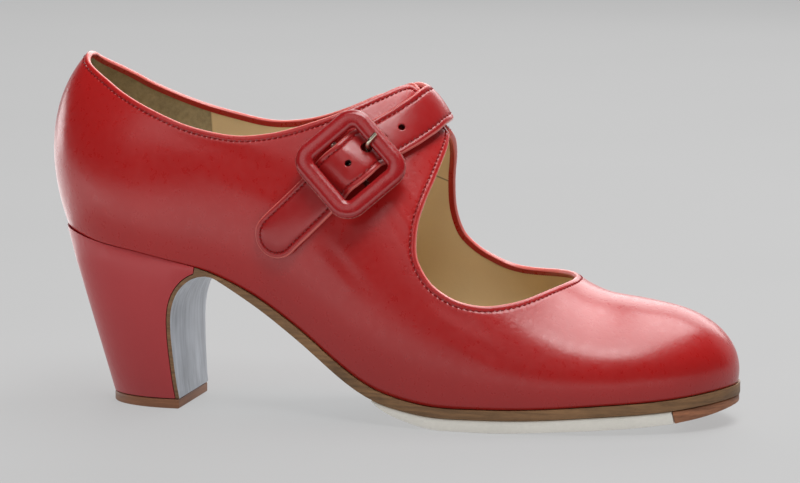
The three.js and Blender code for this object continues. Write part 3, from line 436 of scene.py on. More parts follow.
def side_steps(k, a, ahead):
    """The steps in station and share across that make one millimetre sideways of a path."""
    e, off_ridge = 0.004, 0.01
    a = np.where(np.abs(a) < off_ridge, np.where(a < 0, -off_ridge, off_ridge), a)
    by_k = (across(k + e, a) - across(k - e, a)) / (2 * e)
    by_a = (across(k, a + e) - across(k, a - e)) / (2 * e)
    side = unit(np.cross(across_normal(k, a), ahead))
    kk, ka, aa = (by_k * by_k).sum(-1), (by_k * by_a).sum(-1), (by_a * by_a).sum(-1)
    k_side, a_side = (by_k * side).sum(-1), (by_a * side).sum(-1)
    whole = kk * aa - ka * ka
    return np.stack([(k_side * aa - a_side * ka) / whole, (a_side * kk - k_side * ka) / whole], -1)


# The opening's edge


def opening_edge():
    """The opening's edge from the back down the outer side, over the instep, round the throat and back."""
    collar_steps, throat_steps, bridge_steps, pitch = 192, 338, 16, 0.9
    rows = [(r[0], r[1]) for r in COLLAR[:0:-1]] + [(0, COLLAR[0][1])] + [(-r[0], r[2]) for r in COLLAR[1:]]
    collar = through(rows, 2 * collar_steps)
    outer = np.stack([collar[collar_steps::-1, 0], collar[collar_steps::-1, 1] - 1], -1)
    inner = np.stack([-collar[collar_steps:, 0], 1 - collar[collar_steps:, 1]], -1)
    throat = through([(r[0], r[1]) for r in THROAT] + [(r[2], r[3]) for r in THROAT[-2::-1]], throat_steps)
    k = np.linspace(COLLAR[-1][0], THROAT[0][0], bridge_steps)[1:-1]
    bridge = np.stack([k, np.full(len(k), BRIDGE_SHARE)], -1)
    edge = np.concatenate([outer, bridge * (1, -1), throat, bridge[::-1], inner[::-1]])
    for _ in range(6):
        edge[1:-1] = edge[1:-1] * 0.5 + (edge[:-2] + edge[2:]) * 0.25
    reach = reach_along(across(edge[:, 0], edge[:, 1]))
    return sampled(np.linspace(0, reach[-1], int(reach[-1] / pitch)), reach, edge)


def steps_off_edge():
    """The steps in station and share across that go one millimetre from the edge into the leather."""
    ahead = np.roll(EDGE_AT, -1, 0) - np.roll(EDGE_AT, 1, 0)
    ahead[0] = ahead[-1] = EDGE_AT[1] - EDGE_AT[-2]
    steps = side_steps(EDGE[:, 0], EDGE[:, 1], unit(ahead))
    on_outer_collar = 20
    if steps[on_outer_collar, 1] > 0:
        steps = -steps
    steps[0, 0] = steps[-1, 0] = 0
    return steps


EDGE = opening_edge()
EDGE_AT = across(EDGE[:, 0], EDGE[:, 1])
EDGE_STEP = steps_off_edge()
# Share of its distance below which a moved edge has folded over itself
FOLDED_OVER = 0.86


def edge_distance(points):
    """The distance of each point from the opening's edge, and the number of the nearest point on it."""
    found = [(np.sqrt(block.min(1)), block.argmin(1)) for block in gaps(points, EDGE_AT)]
    away, near = zip(*found)
    return np.concatenate(away), np.concatenate(near)


def moved_edge(distance):
    """The opening's edge moved into the leather, without the stretch that a tight corner folds over."""
    chart = EDGE + EDGE_STEP * distance
    chart[:, 0] = np.clip(chart[:, 0], 0, TOE)
    away, _ = edge_distance(across(chart[:, 0], chart[:, 1]))
    keep = away > FOLDED_OVER * distance
    keep[0] = keep[-1] = True
    return chart[keep]


# Shells over the last


def creased(place):
    """How far in the soft creases press each point of the leather, in millimetres."""
    depth = np.zeros(len(place))
    t = np.linspace(0, 1, 40)
    for k0, a0, k1, a1, deep, wide in CREASES:
        line = across(k0 + (k1 - k0) * t, a0 + (a1 - a0) * t)
        gap = np.linalg.norm(place[:, None] - line[None], axis=-1)
        fade = np.sin(math.pi * np.clip(t[gap.argmin(1)], 0.02, 0.98)) ** 0.7
        off = gap.min(1) / wide
        depth += deep * fade * (1.3 * bell(off, 1.0) - 0.6 * bell(off - 1.7, 1.0))
    return depth


def bridge_pad(k, a):
    """How far the instep bridge is raised under the strap."""
    return BRIDGE_PAD * bell(k - BRIDGE_AT, BRIDGE_LONG) * bell(a, BRIDGE_WIDE)


def triangles(points, lines):
    """A flat net of triangles through points, which keeps the given lines."""
    found, _, faces, *_ = delaunay_2d_cdt([Vector(p) for p in points.tolist()], lines, [], 0, 1e-5)
    return np.array([tuple(p) for p in found]), np.array([f for f in faces if len(f) == 3])


def used_only(points, faces):
    """The points that faces use, and the faces by their new numbers."""
    used, faces = np.unique(faces, return_inverse=True)
    return points[used], faces.reshape(-1, 3)


def turned(place, faces):
    """Twice each triangle's area, as the vector that it faces."""
    corner = place[faces[:, 0]]
    return np.cross(place[faces[:, 1]] - corner, place[faces[:, 2]] - corner)


def leather_net(start, rings, stations, shares):
    """Chart points and triangles of the upper outside the opening, with rows of points along its edge."""
    border = moved_edge(start)
    k, a = np.meshgrid(np.linspace(0, TOE, stations + 1), np.linspace(-1, 1, shares + 1), indexing="ij")
    grid = np.stack([k.ravel(), a.ravel()], -1)
    away, _ = edge_distance(across(grid[:, 0], grid[:, 1]))
    grid = grid[(away > rings[-1] + 0.5) & ~inside_loop(grid, border)]
    rows = [r[~inside_loop(r, border) & (r[:, 0] >= 0)] for r in (moved_edge(d) for d in rings)]
    # millimetres that a station and a whole share across are about worth
    scale = np.array([18.0, 95.0])
    chart = np.concatenate([border] + rows + [grid])
    chart, faces = triangles(chart * scale, [(i, i + 1) for i in range(len(border) - 1)])
    chart = chart / scale
    faces = faces[~inside_loop(chart[faces].mean(1), border)]
    place = across(chart[:, 0], chart[:, 1])
    faces = faces[np.linalg.norm(turned(place, faces), axis=1) > 1e-6]
    # weld the seam at the back and at the toe
    keys, weld = {}, np.zeros(len(chart), int)
    for i, p in enumerate(np.round(place, 4).tolist()):
        weld[i] = keys.setdefault(tuple(p), i)
    a, b, c = weld[faces].T
    chart, faces = used_only(chart, weld[faces][(a != b) & (b != c) & (c != a)])
    place = across(chart[:, 0], chart[:, 1])
    n = across_normal(chart[:, 0], chart[:, 1])
    if (turned(place, faces) * n[faces[:, 0]]).sum() < 0:
        faces = faces[:, ::-1]
    return chart, place, n, faces


def border_of(faces):
    """The edges that only one triangle has."""
    edges = {}
    for a, b, c in faces.tolist():
        for edge in ((a, b), (b, c), (c, a)):
            edges[edge] = True
    return [(i, j) for i, j in edges if (j, i) not in edges]


def walled(faces, count, border, ring_of):
    """Faces of both sides of a net and of the wall between them, which runs over rings of points."""
    walls = []
    for i, j in border:
        left = [i] + ring_of.get(i, []) + [i + count]
        right = [j] + ring_of.get(j, []) + [j + count]
        if len(left) == len(right):
            walls += [(right[q], left[q], left[q + 1], right[q + 1]) for q in range(len(left) - 1)]
    return faces.tolist() + (faces[:, ::-1] + count).tolist() + walls


def shell(place, n, faces, chart, outer, inner, roll):
    """A closed skin between two depths under the last, with its edge rolled over at the opening."""
    low = np.clip(1 - (1 - np.abs(chart[:, 1])) / 0.02, 0, 1)[:, None]
    side = unit(n * (1 - low) + unit(n * (1, 1, 0)) * low)
    out = place - side * outer[:, None]
    into = place - side * inner[:, None]
    into[:, 2] = np.where(low[:, 0] > 0.99, seat(into[:, 0]), into[:, 2])
    count = len(place)
    border = border_of(faces)
    _, near = edge_distance(place)
    points, ring_of, total, steps = [out, into], {}, 2 * count, 6
    angles = [math.pi * q / steps for q in range(1, steps)]
    for i in sorted({i for edge in border for i in edge}):
        at_feather = abs(chart[i, 1]) > 0.999
        if at_feather:
            continue
        over = EDGE_AT[near[i]] - place[i]
        over = unit(over - n[i] * float((over * n[i]).sum())) * roll
        middle, up = (out[i] + into[i]) / 2, (out[i] - into[i]) / 2
        points.append(np.array([middle + up * math.cos(t) + over * math.sin(t) for t in angles]))
        ring_of[i] = list(range(total, total + len(angles)))
        total += len(angles)
    skin = walled(faces, count, border, ring_of)
    return np.concatenate(points), skin, np.repeat(list(ring_of), len(angles))


# Pieces in the scene


def nothing_selected():
    """Object mode, with nothing selected."""
    if bpy.context.object and bpy.context.object.mode != "OBJECT":
        bpy.ops.object.mode_set(mode="OBJECT")
    bpy.ops.object.select_all(action="DESELECT")


def only(piece):
    """The piece selected and active, by itself."""
    nothing_selected()
    piece.select_set(True)
    bpy.context.view_layer.objects.active = piece


def new_piece(name, data):
    """A new object in the scene, selected by itself."""
    piece = bpy.data.objects.new(name, data)
    bpy.context.scene.collection.objects.link(piece)
    only(piece)
    return piece


def smooth(angle):
    """The active piece smooth, except at edges sharper than an angle in degrees."""
    bpy.ops.object.shade_smooth_by_angle(angle=math.radians(angle))


def outward_faces(points, faces):
    """The faces turned over if the closed skin is inside out."""
    p = np.asarray(points)
    volume = 0.0
    for f in faces:
        for i in range(1, len(f) - 1):
            volume += float(np.dot(p[f[0]], np.cross(p[f[i]], p[f[i + 1]])))
    return faces if volume > 0 else [tuple(reversed(f)) for f in faces]


def mesh_piece(name, points, faces, angle):
    """A new mesh object from millimetre points."""
    mesh = bpy.data.meshes.new(name)
    mesh.from_pydata((np.asarray(points) * MM).tolist(), [], [tuple(f) for f in faces])
    mesh.validate()
    piece = new_piece(name, mesh)
    smooth(angle)
    return piece


def point_value(piece, name, values):
    """A number at each point of a piece, for its material."""
    layer = piece.data.attributes.new(name, "FLOAT", "POINT")
    layer.data.foreach_set("value", np.asarray(values, np.float32))


def closed_skin():
    """The active mesh with its doubles merged and its faces pointing out."""
    bpy.ops.object.mode_set(mode="EDIT")
    bpy.ops.mesh.select_all(action="SELECT")
    bpy.ops.mesh.remove_doubles(threshold=1e-7)
    bpy.ops.mesh.normals_make_consistent(inside=False)
    bpy.ops.object.mode_set(mode="OBJECT")


def finished_in(piece, *materials):
    """The piece with these materials alone."""
    piece.data.materials.clear()
    for material in materials:
        piece.data.materials.append(material)


def done(piece, slot, *nodes):
    """The piece rides with the shoe and hides the solids that it stands for; its slot is not used."""
    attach(piece, "root")
    if nodes:
        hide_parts(*nodes)
    nothing_selected()


def carried(node, name, edge_break):
    """A merged copy of a solid with its sharp edges broken."""
    piece = frame["nodes"][node].copy()
    piece.data = piece.data.copy()
    piece.name = name
    piece.parent = None
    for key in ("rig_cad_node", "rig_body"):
        if key in piece:
            del piece[key]
    bpy.context.scene.collection.objects.link(piece)
    only(piece)
    bpy.ops.object.mode_set(mode="EDIT")
    bpy.ops.mesh.select_all(action="SELECT")
    bpy.ops.mesh.remove_doubles(threshold=1e-6)
    bpy.ops.mesh.dissolve_limited(angle_limit=math.radians(0.4))
    bpy.ops.object.mode_set(mode="OBJECT")
    edge = piece.modifiers.new("edge", "BEVEL")
    edge.width = edge_break
    edge.segments = 3
    edge.limit_method = "ANGLE"
    edge.angle_limit = math.radians(48)
    bpy.ops.object.modifier_apply(modifier="edge")
    smooth(PLAIN)
    return piece


# Nodes


def linear(red, green, blue):
    """Scene colour from the 0 to 255 values a picture shows."""
    shares = (value / 255 for value in (red, green, blue))
    return tuple(s / 12.92 if s <= 0.04045 else ((s + 0.055) / 1.055) ** 2.4 for s in shares)


def deeper(colour, share):
    """A darker tone of a colour."""
    return tuple(channel * share for channel in colour)


def new_material(name):
    """An empty material and its nodes."""
    material = bpy.data.materials.new(name)
    material.use_nodes = True
    material.node_tree.nodes.clear()
    return material, material.node_tree


def feed(tree, socket, value):
    """A socket given a number, a colour or another node's output."""
    if isinstance(value, (int, float)):
        socket.default_value = value
    elif isinstance(value, tuple):
        socket.default_value = value[:3] + (1.0,)
    else:
        tree.links.new(value, socket)


def object_place(tree):
    """The place on the object."""
    return tree.nodes.new("ShaderNodeTexCoord").outputs["Object"]


def attribute(tree, name):
    """A number kept at the mesh's points."""
    node = tree.nodes.new("ShaderNodeAttribute")
    node.attribute_name = name
    return node.outputs["Fac"]


def noise(tree, vector, scale, detail=3.0, rough=0.55):
    """Soft noise, with its scale in turns a metre."""
    node = tree.nodes.new("ShaderNodeTexNoise")
    for name, value in (("Vector", vector), ("Scale", scale), ("Detail", detail), ("Roughness", rough)):
        feed(tree, node.inputs[name], value)
    return node.outputs["Fac"]


def stretched(tree, vector, scale):
    """A place scaled along each axis."""
    node = tree.nodes.new("ShaderNodeMapping")
    node.inputs["Scale"].default_value = scale
    feed(tree, node.inputs["Vector"], vector)
    return node.outputs["Vector"]


def maths(tree, operation, a, b=None, clamp=False):
    """One sum of two values."""
    node = tree.nodes.new("ShaderNodeMath")
    node.operation = operation
    node.use_clamp = clamp
    feed(tree, node.inputs[0], a)
    if b is not None:
        feed(tree, node.inputs[1], b)
    return node.outputs[0]


def mixed(tree, *parts):
    """The sum of values, each times its share."""
    total = None
    for value, share in parts:
        part = value if share == 1 else maths(tree, "MULTIPLY", value, share)
        total = part if total is None else maths(tree, "ADD", total, part)
    return total


def spread(tree, value, low, high, to_low=0.0, to_high=1.0):
    """A value's range from low to high made another range."""
    node = tree.nodes.new("ShaderNodeMapRange")
    ends = (("Value", value), ("From Min", low), ("From Max", high), ("To Min", to_low), ("To Max", to_high))
    for name, end in ends:
        feed(tree, node.inputs[name], end)
    return node.outputs["Result"]


def blend_colour(tree, factor, first, second):
    """The first colour turning to the second with a factor."""
    node = tree.nodes.new("ShaderNodeMix")
    node.data_type = "RGBA"
    # a Mix node has its sockets for each kind of data in one list: these are the factor and the two colours
    for number, value in ((0, factor), (6, first), (7, second)):
        feed(tree, node.inputs[number], value)
    return node.outputs[2]


def finish_surface(tree, colour, roughness, height, relief, specular=0.5, coat=0.0, coat_rough=0.3, **others):
    """The shader that ends a material: plain values go on its own sockets, and relief is in millimetres."""
    shader = tree.nodes.new("ShaderNodeBsdfPrincipled")
    plain = {"Specular IOR Level": specular, "Coat Weight": coat, "Coat Roughness": coat_rough, **others}
    for name, value in {"Base Color": colour, "Roughness": roughness, **plain}.items():
        feed(tree, shader.inputs[name.replace("_", " ")], value)
    if height is not None:
        bump = tree.nodes.new("ShaderNodeBump")
        feed(tree, bump.inputs["Distance"], relief * MM)
        feed(tree, bump.inputs["Strength"], 1.0)
        feed(tree, bump.inputs["Height"], height)
        feed(tree, shader.inputs["Normal"], bump.outputs["Normal"])
    end = tree.nodes.new("ShaderNodeOutputMaterial")
    feed(tree, end.inputs["Surface"], shader.outputs["BSDF"])
    return shader


# Effects that more than one material uses


def group_tree(name, inputs, outputs):
    """A new node group with its sockets; an input is a vector, a colour or a number by its value."""
    tree = bpy.data.node_groups.new(name, "ShaderNodeTree")
    kinds = {type(None): "NodeSocketVector", tuple: "NodeSocketColor", float: "NodeSocketFloat"}
    for label, value in inputs.items():
        socket = tree.interface.new_socket(name=label, in_out="INPUT", socket_type=kinds[type(value)])
        if value is not None:
            socket.default_value = value
    for label in outputs:
        kind = "NodeSocketColor" if label == "Colour" else "NodeSocketFloat"
        tree.interface.new_socket(name=label, in_out="OUTPUT", socket_type=kind)
    return tree, tree.nodes.new("NodeGroupInput").outputs, tree.nodes.new("NodeGroupOutput").inputs


def use_group(tree, make, **values):
    """A group placed in a material with its own values, and made on its first use."""
    node = tree.nodes.new("ShaderNodeGroup")
    node.node_tree = bpy.data.node_groups.get(make.__name__) or make(make.__name__)
    for key, value in values.items():
        feed(tree, node.inputs[key.replace("_", " ")], value)
    return node.outputs


def leather_grain(name):
    """Fine pores, soft clouds of colour and a slightly uneven gloss, as on smooth calf."""
    tree, given, out = group_tree(
        name,
        {"Vector": None, "Colour": (0.5, 0.02, 0.02, 1),
         "Deep Colour": (0.2, 0.01, 0.01, 1), "Pore Size": 1500.0,
         "Cloud": 0.3, "Gloss": 0.4},
        ("Colour", "Roughness", "Height"),
    )
    vector = given["Vector"]
    pores = tree.nodes.new("ShaderNodeTexVoronoi")
    pores.feature = "SMOOTH_F1"
    for socket, value in (("Vector", vector), ("Scale", given["Pore Size"]), ("Smoothness", 0.6)):
        feed(tree, pores.inputs[socket], value)
    pores = pores.outputs["Distance"]
    fine = noise(tree, vector, 900.0, 2.0, 0.6)
    creases = noise(tree, stretched(tree, vector, (1.0, 1.6, 0.8)), 420.0, 3.0, 0.6)
    fine_clouds, wide_clouds = noise(tree, vector, 34.0, 3.0, 0.5), noise(tree, vector, 12.0, 2.0, 0.5)
    cloudy = mixed(tree, (fine_clouds, 0.6), (wide_clouds, 0.4))
    amount = maths(tree, "MULTIPLY", spread(tree, cloudy, 0.35, 0.65), given["Cloud"], True)
    toned = blend_colour(tree, amount, given["Colour"], given["Deep Colour"])
    pit = maths(tree, "MULTIPLY", spread(tree, pores, 0.1, 0.5, 0.35, 0.0), 0.2, True)
    feed(tree, out["Colour"], blend_colour(tree, pit, toned, given["Deep Colour"]))
    rough = maths(tree, "ADD", given["Gloss"], spread(tree, creases, 0.3, 0.7, -0.05, 0.07))
    feed(tree, out["Roughness"], rough)
    feed(tree, out["Height"], mixed(tree, (pores, 0.1), (fine, 0.35), (creases, 0.8)))
    return tree


def folded_seam(name):
    """A painted highlight where leather is folded, painted shade along its stitching and in its needle holes,
    and puckers between the stitches.

    Distance and Along are millimetres off and along the edge.
    """
    tree, given, out = group_tree(
        name,
        {"Colour": (0.5, 0.02, 0.02, 1), "Pale Colour": (1, 0.5, 0.5, 1), "Distance": 0.0, "Along": 0.0,
         "Width": 0.8, "Strength": 0.5, "Seam At": 2.1, "Pitch": 1.83, "Seam Shade": 0.22},
        ("Colour", "Height"),
    )
    # painted shade down the stitching's groove, and darker painted shade in the needle holes
    shaded, needle_hole_shade = (0.24, 0.005, 0.006), (0.17, 0.003, 0.004)
    distance = given["Distance"]
    # a painted highlight on the fold, strongest at the edge
    mask = maths(tree, "SUBTRACT", 1.0, maths(tree, "DIVIDE", distance, given["Width"]), True)
    mask = maths(tree, "MULTIPLY", mask, given["Strength"], True)
    folded = blend_colour(tree, mask, given["Colour"], given["Pale Colour"])
    off_seam = maths(tree, "ABSOLUTE", maths(tree, "SUBTRACT", distance, given["Seam At"]))
    band = spread(tree, off_seam, 0.12, 0.5, 1.0, 0.0)
    turns = maths(tree, "DIVIDE", given["Along"], given["Pitch"])
    wave = maths(tree, "COSINE", maths(tree, "MULTIPLY", turns, 2 * math.pi))
    hole = maths(tree, "MULTIPLY", spread(tree, wave, 0.25, 0.85), band, True)
    shadow = maths(tree, "MULTIPLY", band, given["Seam Shade"], True)
    toned = blend_colour(tree, shadow, folded, shaded)
    feed(tree, out["Colour"], blend_colour(tree, maths(tree, "MULTIPLY", hole, 0.6), toned, needle_hole_shade))
    gather = spread(tree, distance, 0.9, 2.1)
    beyond = spread(tree, distance, 2.1, 3.6, 1.0, 0.0)
    pucker = maths(tree, "MULTIPLY", wave, maths(tree, "MULTIPLY", gather, beyond))
    feed(tree, out["Height"], maths(tree, "SUBTRACT", maths(tree, "MULTIPLY", pucker, -0.5), hole))
    return tree


def stack_streaks(name):
    """Streaks of pressed leather layers along an edge."""
    tree, given, out = group_tree(
        name,
        {"Vector": None, "Light Colour": (0.3, 0.2, 0.1, 1),
         "Dark Colour": (0.1, 0.05, 0.03, 1), "Contrast": 1.0},
        ("Colour", "Height"),
    )
    vector = given["Vector"]
    layers = noise(tree, stretched(tree, vector, (60.0, 60.0, 900.0)), 1.0, 3.0, 0.6)
    blots = noise(tree, vector, 90.0, 4.0, 0.6)
    fibre = noise(tree, stretched(tree, vector, (500.0, 500.0, 2600.0)), 1.0, 2.0, 0.5)
    value = spread(tree, mixed(tree, (layers, 0.55), (blots, 0.3), (fibre, 0.15)), 0.36, 0.64)
    value = maths(tree, "MULTIPLY", value, given["Contrast"], True)
    feed(tree, out["Colour"], blend_colour(tree, value, given["Light Colour"], given["Dark Colour"]))
    feed(tree, out["Height"], mixed(tree, (layers, 1), (fibre, 0.5)))
    return tree


# Finishes


# Painted highlight of the folded edges, and painted shade inside the strap's punched holes
FOLD_HIGHLIGHT = linear(238, 128, 118)
HOLE_SHADE = linear(60, 16, 14)


def red_leather(name, colour, gloss, deep=0.64, cloud=0.3, coat=0.22, seam=None):
    """Smooth red leather. With a seam, its folded edge has a painted highlight, its stitching and needle
    holes painted shade, and the walls of punched holes painted dark shade; a seam is the stitching's distance
    from the edge and its pitch, in millimetres.
    """
    material, tree = new_material(name)
    grain = use_group(tree, leather_grain, Vector=object_place(tree), Colour=tuple(colour),
                      Deep_Colour=deeper(colour, deep), Pore_Size=1500.0, Cloud=cloud, Gloss=gloss)
    shade, height = grain["Colour"], grain["Height"]
    if seam:
        mark = attribute(tree, "edge_mm")
        painted_fold_and_seam = use_group(tree, folded_seam, Colour=shade, Pale_Colour=FOLD_HIGHLIGHT, Distance=mark,
                         Along=attribute(tree, "along_mm"), Width=0.75, Strength=0.75, Seam_At=seam[0],
                         Pitch=seam[1])
        # the walls of the punched holes are painted dark as shade
        in_hole = maths(tree, "GREATER_THAN", mark, IN_HOLE - 5)
        shade = blend_colour(tree, in_hole, painted_fold_and_seam["Colour"], HOLE_SHADE)
        height = mixed(tree, (height, 1), (painted_fold_and_seam["Height"], 0.7))
    finish_surface(tree, shade, grain["Roughness"], height, 0.08, 0.5, coat, 0.2)
    return material


def lining_leather(name, colour, deep, grip=None):
    """Lining leather; with a grip colour, the back is suede and the upper's lining seams show."""
    material, tree = new_material(name)
    place = object_place(tree)
    grain = use_group(tree, leather_grain, Vector=place, Colour=tuple(colour),
                      Deep_Colour=deeper(colour, deep),
                      Pore_Size=1100.0, Cloud=0.5, Gloss=0.62)
    shade, rough, height = grain["Colour"], grain["Roughness"], grain["Height"]
    if grip is not None:
        parts = tree.nodes.new("ShaderNodeSeparateXYZ")
        feed(tree, parts.inputs[0], place)
        x, z = parts.outputs["X"], parts.outputs["Z"]
        nap = noise(tree, place, 620.0, 4.0, 0.75)
        fluff = noise(tree, stretched(tree, place, (1.0, 1.0, 0.35)), 170.0, 3.0, 0.6)
        tufts = spread(tree, mixed(tree, (nap, 0.6), (fluff, 0.4)), 0.36, 0.64)
        behind = maths(tree, "LESS_THAN", x, GRIP_END * MM)
        shade = blend_colour(tree, behind, shade, blend_colour(tree, tufts, tuple(grip), deeper(grip, 0.62)))
        off_grip = maths(tree, "ABSOLUTE", maths(tree, "SUBTRACT", x, GRIP_END * MM))
        groove = maths(tree, "MULTIPLY", spread(tree, off_grip, 0.0, 0.5 * MM, 1.0, 0.0), 0.45, True)
        shade = blend_colour(tree, groove, shade, deeper(colour, 0.35))
        # the lining's seam under the instep bridge slopes down forwards
        slope = mixed(tree, (x, 0.36), (z, 1))
        off_seam = maths(tree, "ABSOLUTE", maths(tree, "SUBTRACT", slope, 112.3 * MM))
        ahead = maths(tree, "GREATER_THAN", x, 70 * MM)
        seam = maths(tree, "MULTIPLY", spread(tree, off_seam, 0.1 * MM, 0.45 * MM, 1.0, 0.0), ahead, True)
        shade = blend_colour(tree, maths(tree, "MULTIPLY", seam, 0.8), shade, deeper(colour, 0.25))
        rise = maths(tree, "MULTIPLY", nap, maths(tree, "MULTIPLY", behind, 1.2))
        height = maths(tree, "SUBTRACT", maths(tree, "ADD", height, rise), seam)
        rough = maths(tree, "ADD", rough, maths(tree, "MULTIPLY", behind, 0.3), True)
    finish_surface(tree, shade, rough, height, 0.06, 0.35, 0.0, 0.5, Sheen_Weight=0.08)
    return material


def stacked_edge(name, colour, dark, contrast=0.8):
    """The cut edge of pressed leather."""
    material, tree = new_material(name)
    streaks = use_group(tree, stack_streaks, Vector=object_place(tree), Light_Colour=tuple(colour),
                        Dark_Colour=deeper(colour, dark), Contrast=contrast)
    finish_surface(tree, streaks["Colour"], 0.55, streaks["Height"], 0.08, 0.4, 0.1, 0.4)
    return material


def brushed_paint(name, colour):
    """Silver-grey paint brushed down the front of the heel."""
    material, tree = new_material(name)
    place = object_place(tree)
    strokes = noise(tree, stretched(tree, place, (420.0, 420.0, 26.0)), 1.0, 4.0, 0.6)
    streaky = mixed(tree, (strokes, 0.6), (noise(tree, place, 70.0, 3.0, 0.5), 0.4))
    shade = blend_colour(tree, spread(tree, streaky, 0.36, 0.64), tuple(colour), deeper(colour, 0.63))
    rough = spread(tree, strokes, 0.3, 0.7, 0.38, 0.55)
    finish_surface(tree, shade, rough, strokes, 0.05, 0.5, 0.15, 0.3)
    return material


def pale_layer(name, colour, dark):
    """A plain layer with specks and faint clouds."""
    material, tree = new_material(name)
    place = object_place(tree)
    specks = noise(tree, place, 700.0, 3.0, 0.6)
    value = mixed(tree, (specks, 0.4), (noise(tree, place, 60.0, 3.0, 0.5), 0.6))
    shade = blend_colour(tree, spread(tree, value, 0.38, 0.66), tuple(colour), deeper(colour, dark))
    finish_surface(tree, shade, 0.6, specks, 0.05, 0.4)
    return material


def bright_metal(name, colour):
    """Metal with fine marks."""
    material, tree = new_material(name)
    marks = noise(tree, stretched(tree, object_place(tree), (300.0, 900.0, 300.0)), 1.0, 2.0, 0.5)
    rough = spread(tree, marks, 0.3, 0.7, 0.16, 0.3)
    finish_surface(tree, tuple(colour), rough, marks, 0.02, 0.5, 0.0, 0.2, Metallic=1.0)
    return material


def twisted_thread(name, colour, dark=0.5):
    """Twisted thread."""
    material, tree = new_material(name)
    twist = noise(tree, object_place(tree), 1400.0, 2.0, 0.5)
    shade = blend_colour(tree, spread(tree, twist, 0.35, 0.65), tuple(colour), deeper(colour, dark))
    finish_surface(tree, shade, 0.7, twist, 0.04, 0.12)
    return material


def stage_finish(name, scale, first, second, rough, specular, range_of=(0.0, 1.0)):
    """A plain faintly cloudy surface of the stage, and its shader."""
    material, tree = new_material(name)
    clouds = spread(tree, noise(tree, object_place(tree), scale, 2.0, 0.5), *range_of)
    shader = finish_surface(tree, blend_colour(tree, clouds, first, second), rough, None, 0.0, specular)
    return material, shader


# The strap, in its own flat plan: millimetres from its sewn end along it, and sideways


def strap_course():
    """Places along the strap's middle line: reach, station, share across and distance from the buckle.

    With them come the steps that make one millimetre sideways, the whole length and the buckle's reach.
    """
    fine = through(STRAP, 2 * STRAP_STEPS)
    reach = reach_along(across(fine[:, 0], fine[:, 1]))
    buckle = int(np.argmax((fine[:, 1] < -0.4) & (fine[:, 0] < BUCKLE_AT)))
    d = np.linspace(0, reach[-1], STRAP_STEPS + 1)
    k, a = sampled(d, reach, fine).T
    step = side_steps(k, a, unit(np.gradient(across(k, a), axis=0)))
    for _ in range(3):
        step[1:-1] = step[1:-1] * 0.5 + (step[:-2] + step[2:]) * 0.25
    whole, buckle = float(reach[-1]), float(reach[buckle])
    return {"d": d, "k": k, "a": a, "from": buckle - d, "step": step, "total": whole, "buckle": buckle}


COURSE = strap_course()


def strap_half(d):
    """The strap's half width."""
    return STRAP_HALF * half_share((COURSE["buckle"] - d) / FRAME_HALF_LONG)


def strap_place(plan, height):
    """Points over the upper for a strap plan (along, sideways) and heights above the strap's underside."""
    d, y = np.clip(plan[:, 0], 0, COURSE["total"]), plan[:, 1]
    beyond = plan[:, 0] - d
    k, a, away = (np.interp(d, COURSE["d"], COURSE[key]) for key in ("k", "a", "from"))
    step = sampled(d, COURSE["d"], COURSE["step"])
    k, a = k + step[:, 0] * y, a + step[:, 1] * y
    share = away / FRAME_HALF_LONG
    lift = FRAME_LIFT * (lift_share(share) - y / strap_half(d) * tilt_share(share))
    i = np.clip(np.interp(d, COURSE["d"], np.arange(STRAP_STEPS + 1)).astype(int), 1, STRAP_STEPS - 1)
    after, before = (across(COURSE["k"][j], COURSE["a"][j]) for j in (i + 1, i - 1))
    ahead = unit(after - before)
    return across(k, a) + across_normal(k, a) * (lift + height)[:, None] + ahead * beyond[:, None]


def spaced(loop, step):
    """A closed plan loop with points at even steps."""
    ring = np.concatenate([loop, loop[:1]])
    reach = reach_along(ring)
    at = np.linspace(0, reach[-1], max(8, int(reach[-1] / step)) + 1)[:-1]
    return sampled(at, reach, ring)


def strap_outline():
    """The strap's outline, cornered at its sewn end and rounded at its free end."""
    total, start = COURSE["total"], float(strap_half(0))
    tip = float(strap_half(total))
    quarter = np.linspace(0, math.pi / 2, 5)
    corner = [(STRAP_CORNER * (1 - math.sin(t)), start - STRAP_CORNER * (1 - math.cos(t))) for t in quarter]
    round_end = np.linspace(-math.pi / 2, math.pi / 2, 26)
    rows = [(x, -y) for x, y in corner[::-1]]
    rows += [(d, -float(strap_half(d))) for d in np.arange(3.0, total - tip, 1.0)]
    rows += [(total - tip + tip * math.cos(t), tip * math.sin(t)) for t in round_end]
    rows += [(d, float(strap_half(d))) for d in np.arange(total - tip - 1.0, 2.5, -1.0)]
    return spaced(np.array(rows + corner), 0.8)


def inset(loop, distance):
    """A closed plan loop moved inwards."""
    ahead = np.roll(loop, -1, 0) - np.roll(loop, 1, 0)
    side = unit(np.stack([-ahead[:, 1], ahead[:, 0]], -1))
    area = float((loop[:, 0] * np.roll(loop[:, 1], -1) - np.roll(loop[:, 0], -1) * loop[:, 1]).sum())
    return loop + side * math.copysign(distance, area)


def loop_distance(points, loop):
    """The distance of plan points from a loop."""
    return np.concatenate([np.sqrt(block.min(1)) for block in gaps(points, loop)])


def loop_along(points, loop):
    """How far along a closed plan loop the nearest place to each point is, and the loop's length."""
    reach = reach_along(np.concatenate([loop, loop[:1]]))
    return reach[np.concatenate([block.argmin(1) for block in gaps(points, loop)])], float(reach[-1])


def circle(centre, radius):
    """A circle in the plan."""
    t = np.linspace(0, 2 * math.pi, 25)[:-1]
    return np.stack([centre[0] + radius * np.cos(t), centre[1] + radius * np.sin(t)], -1)


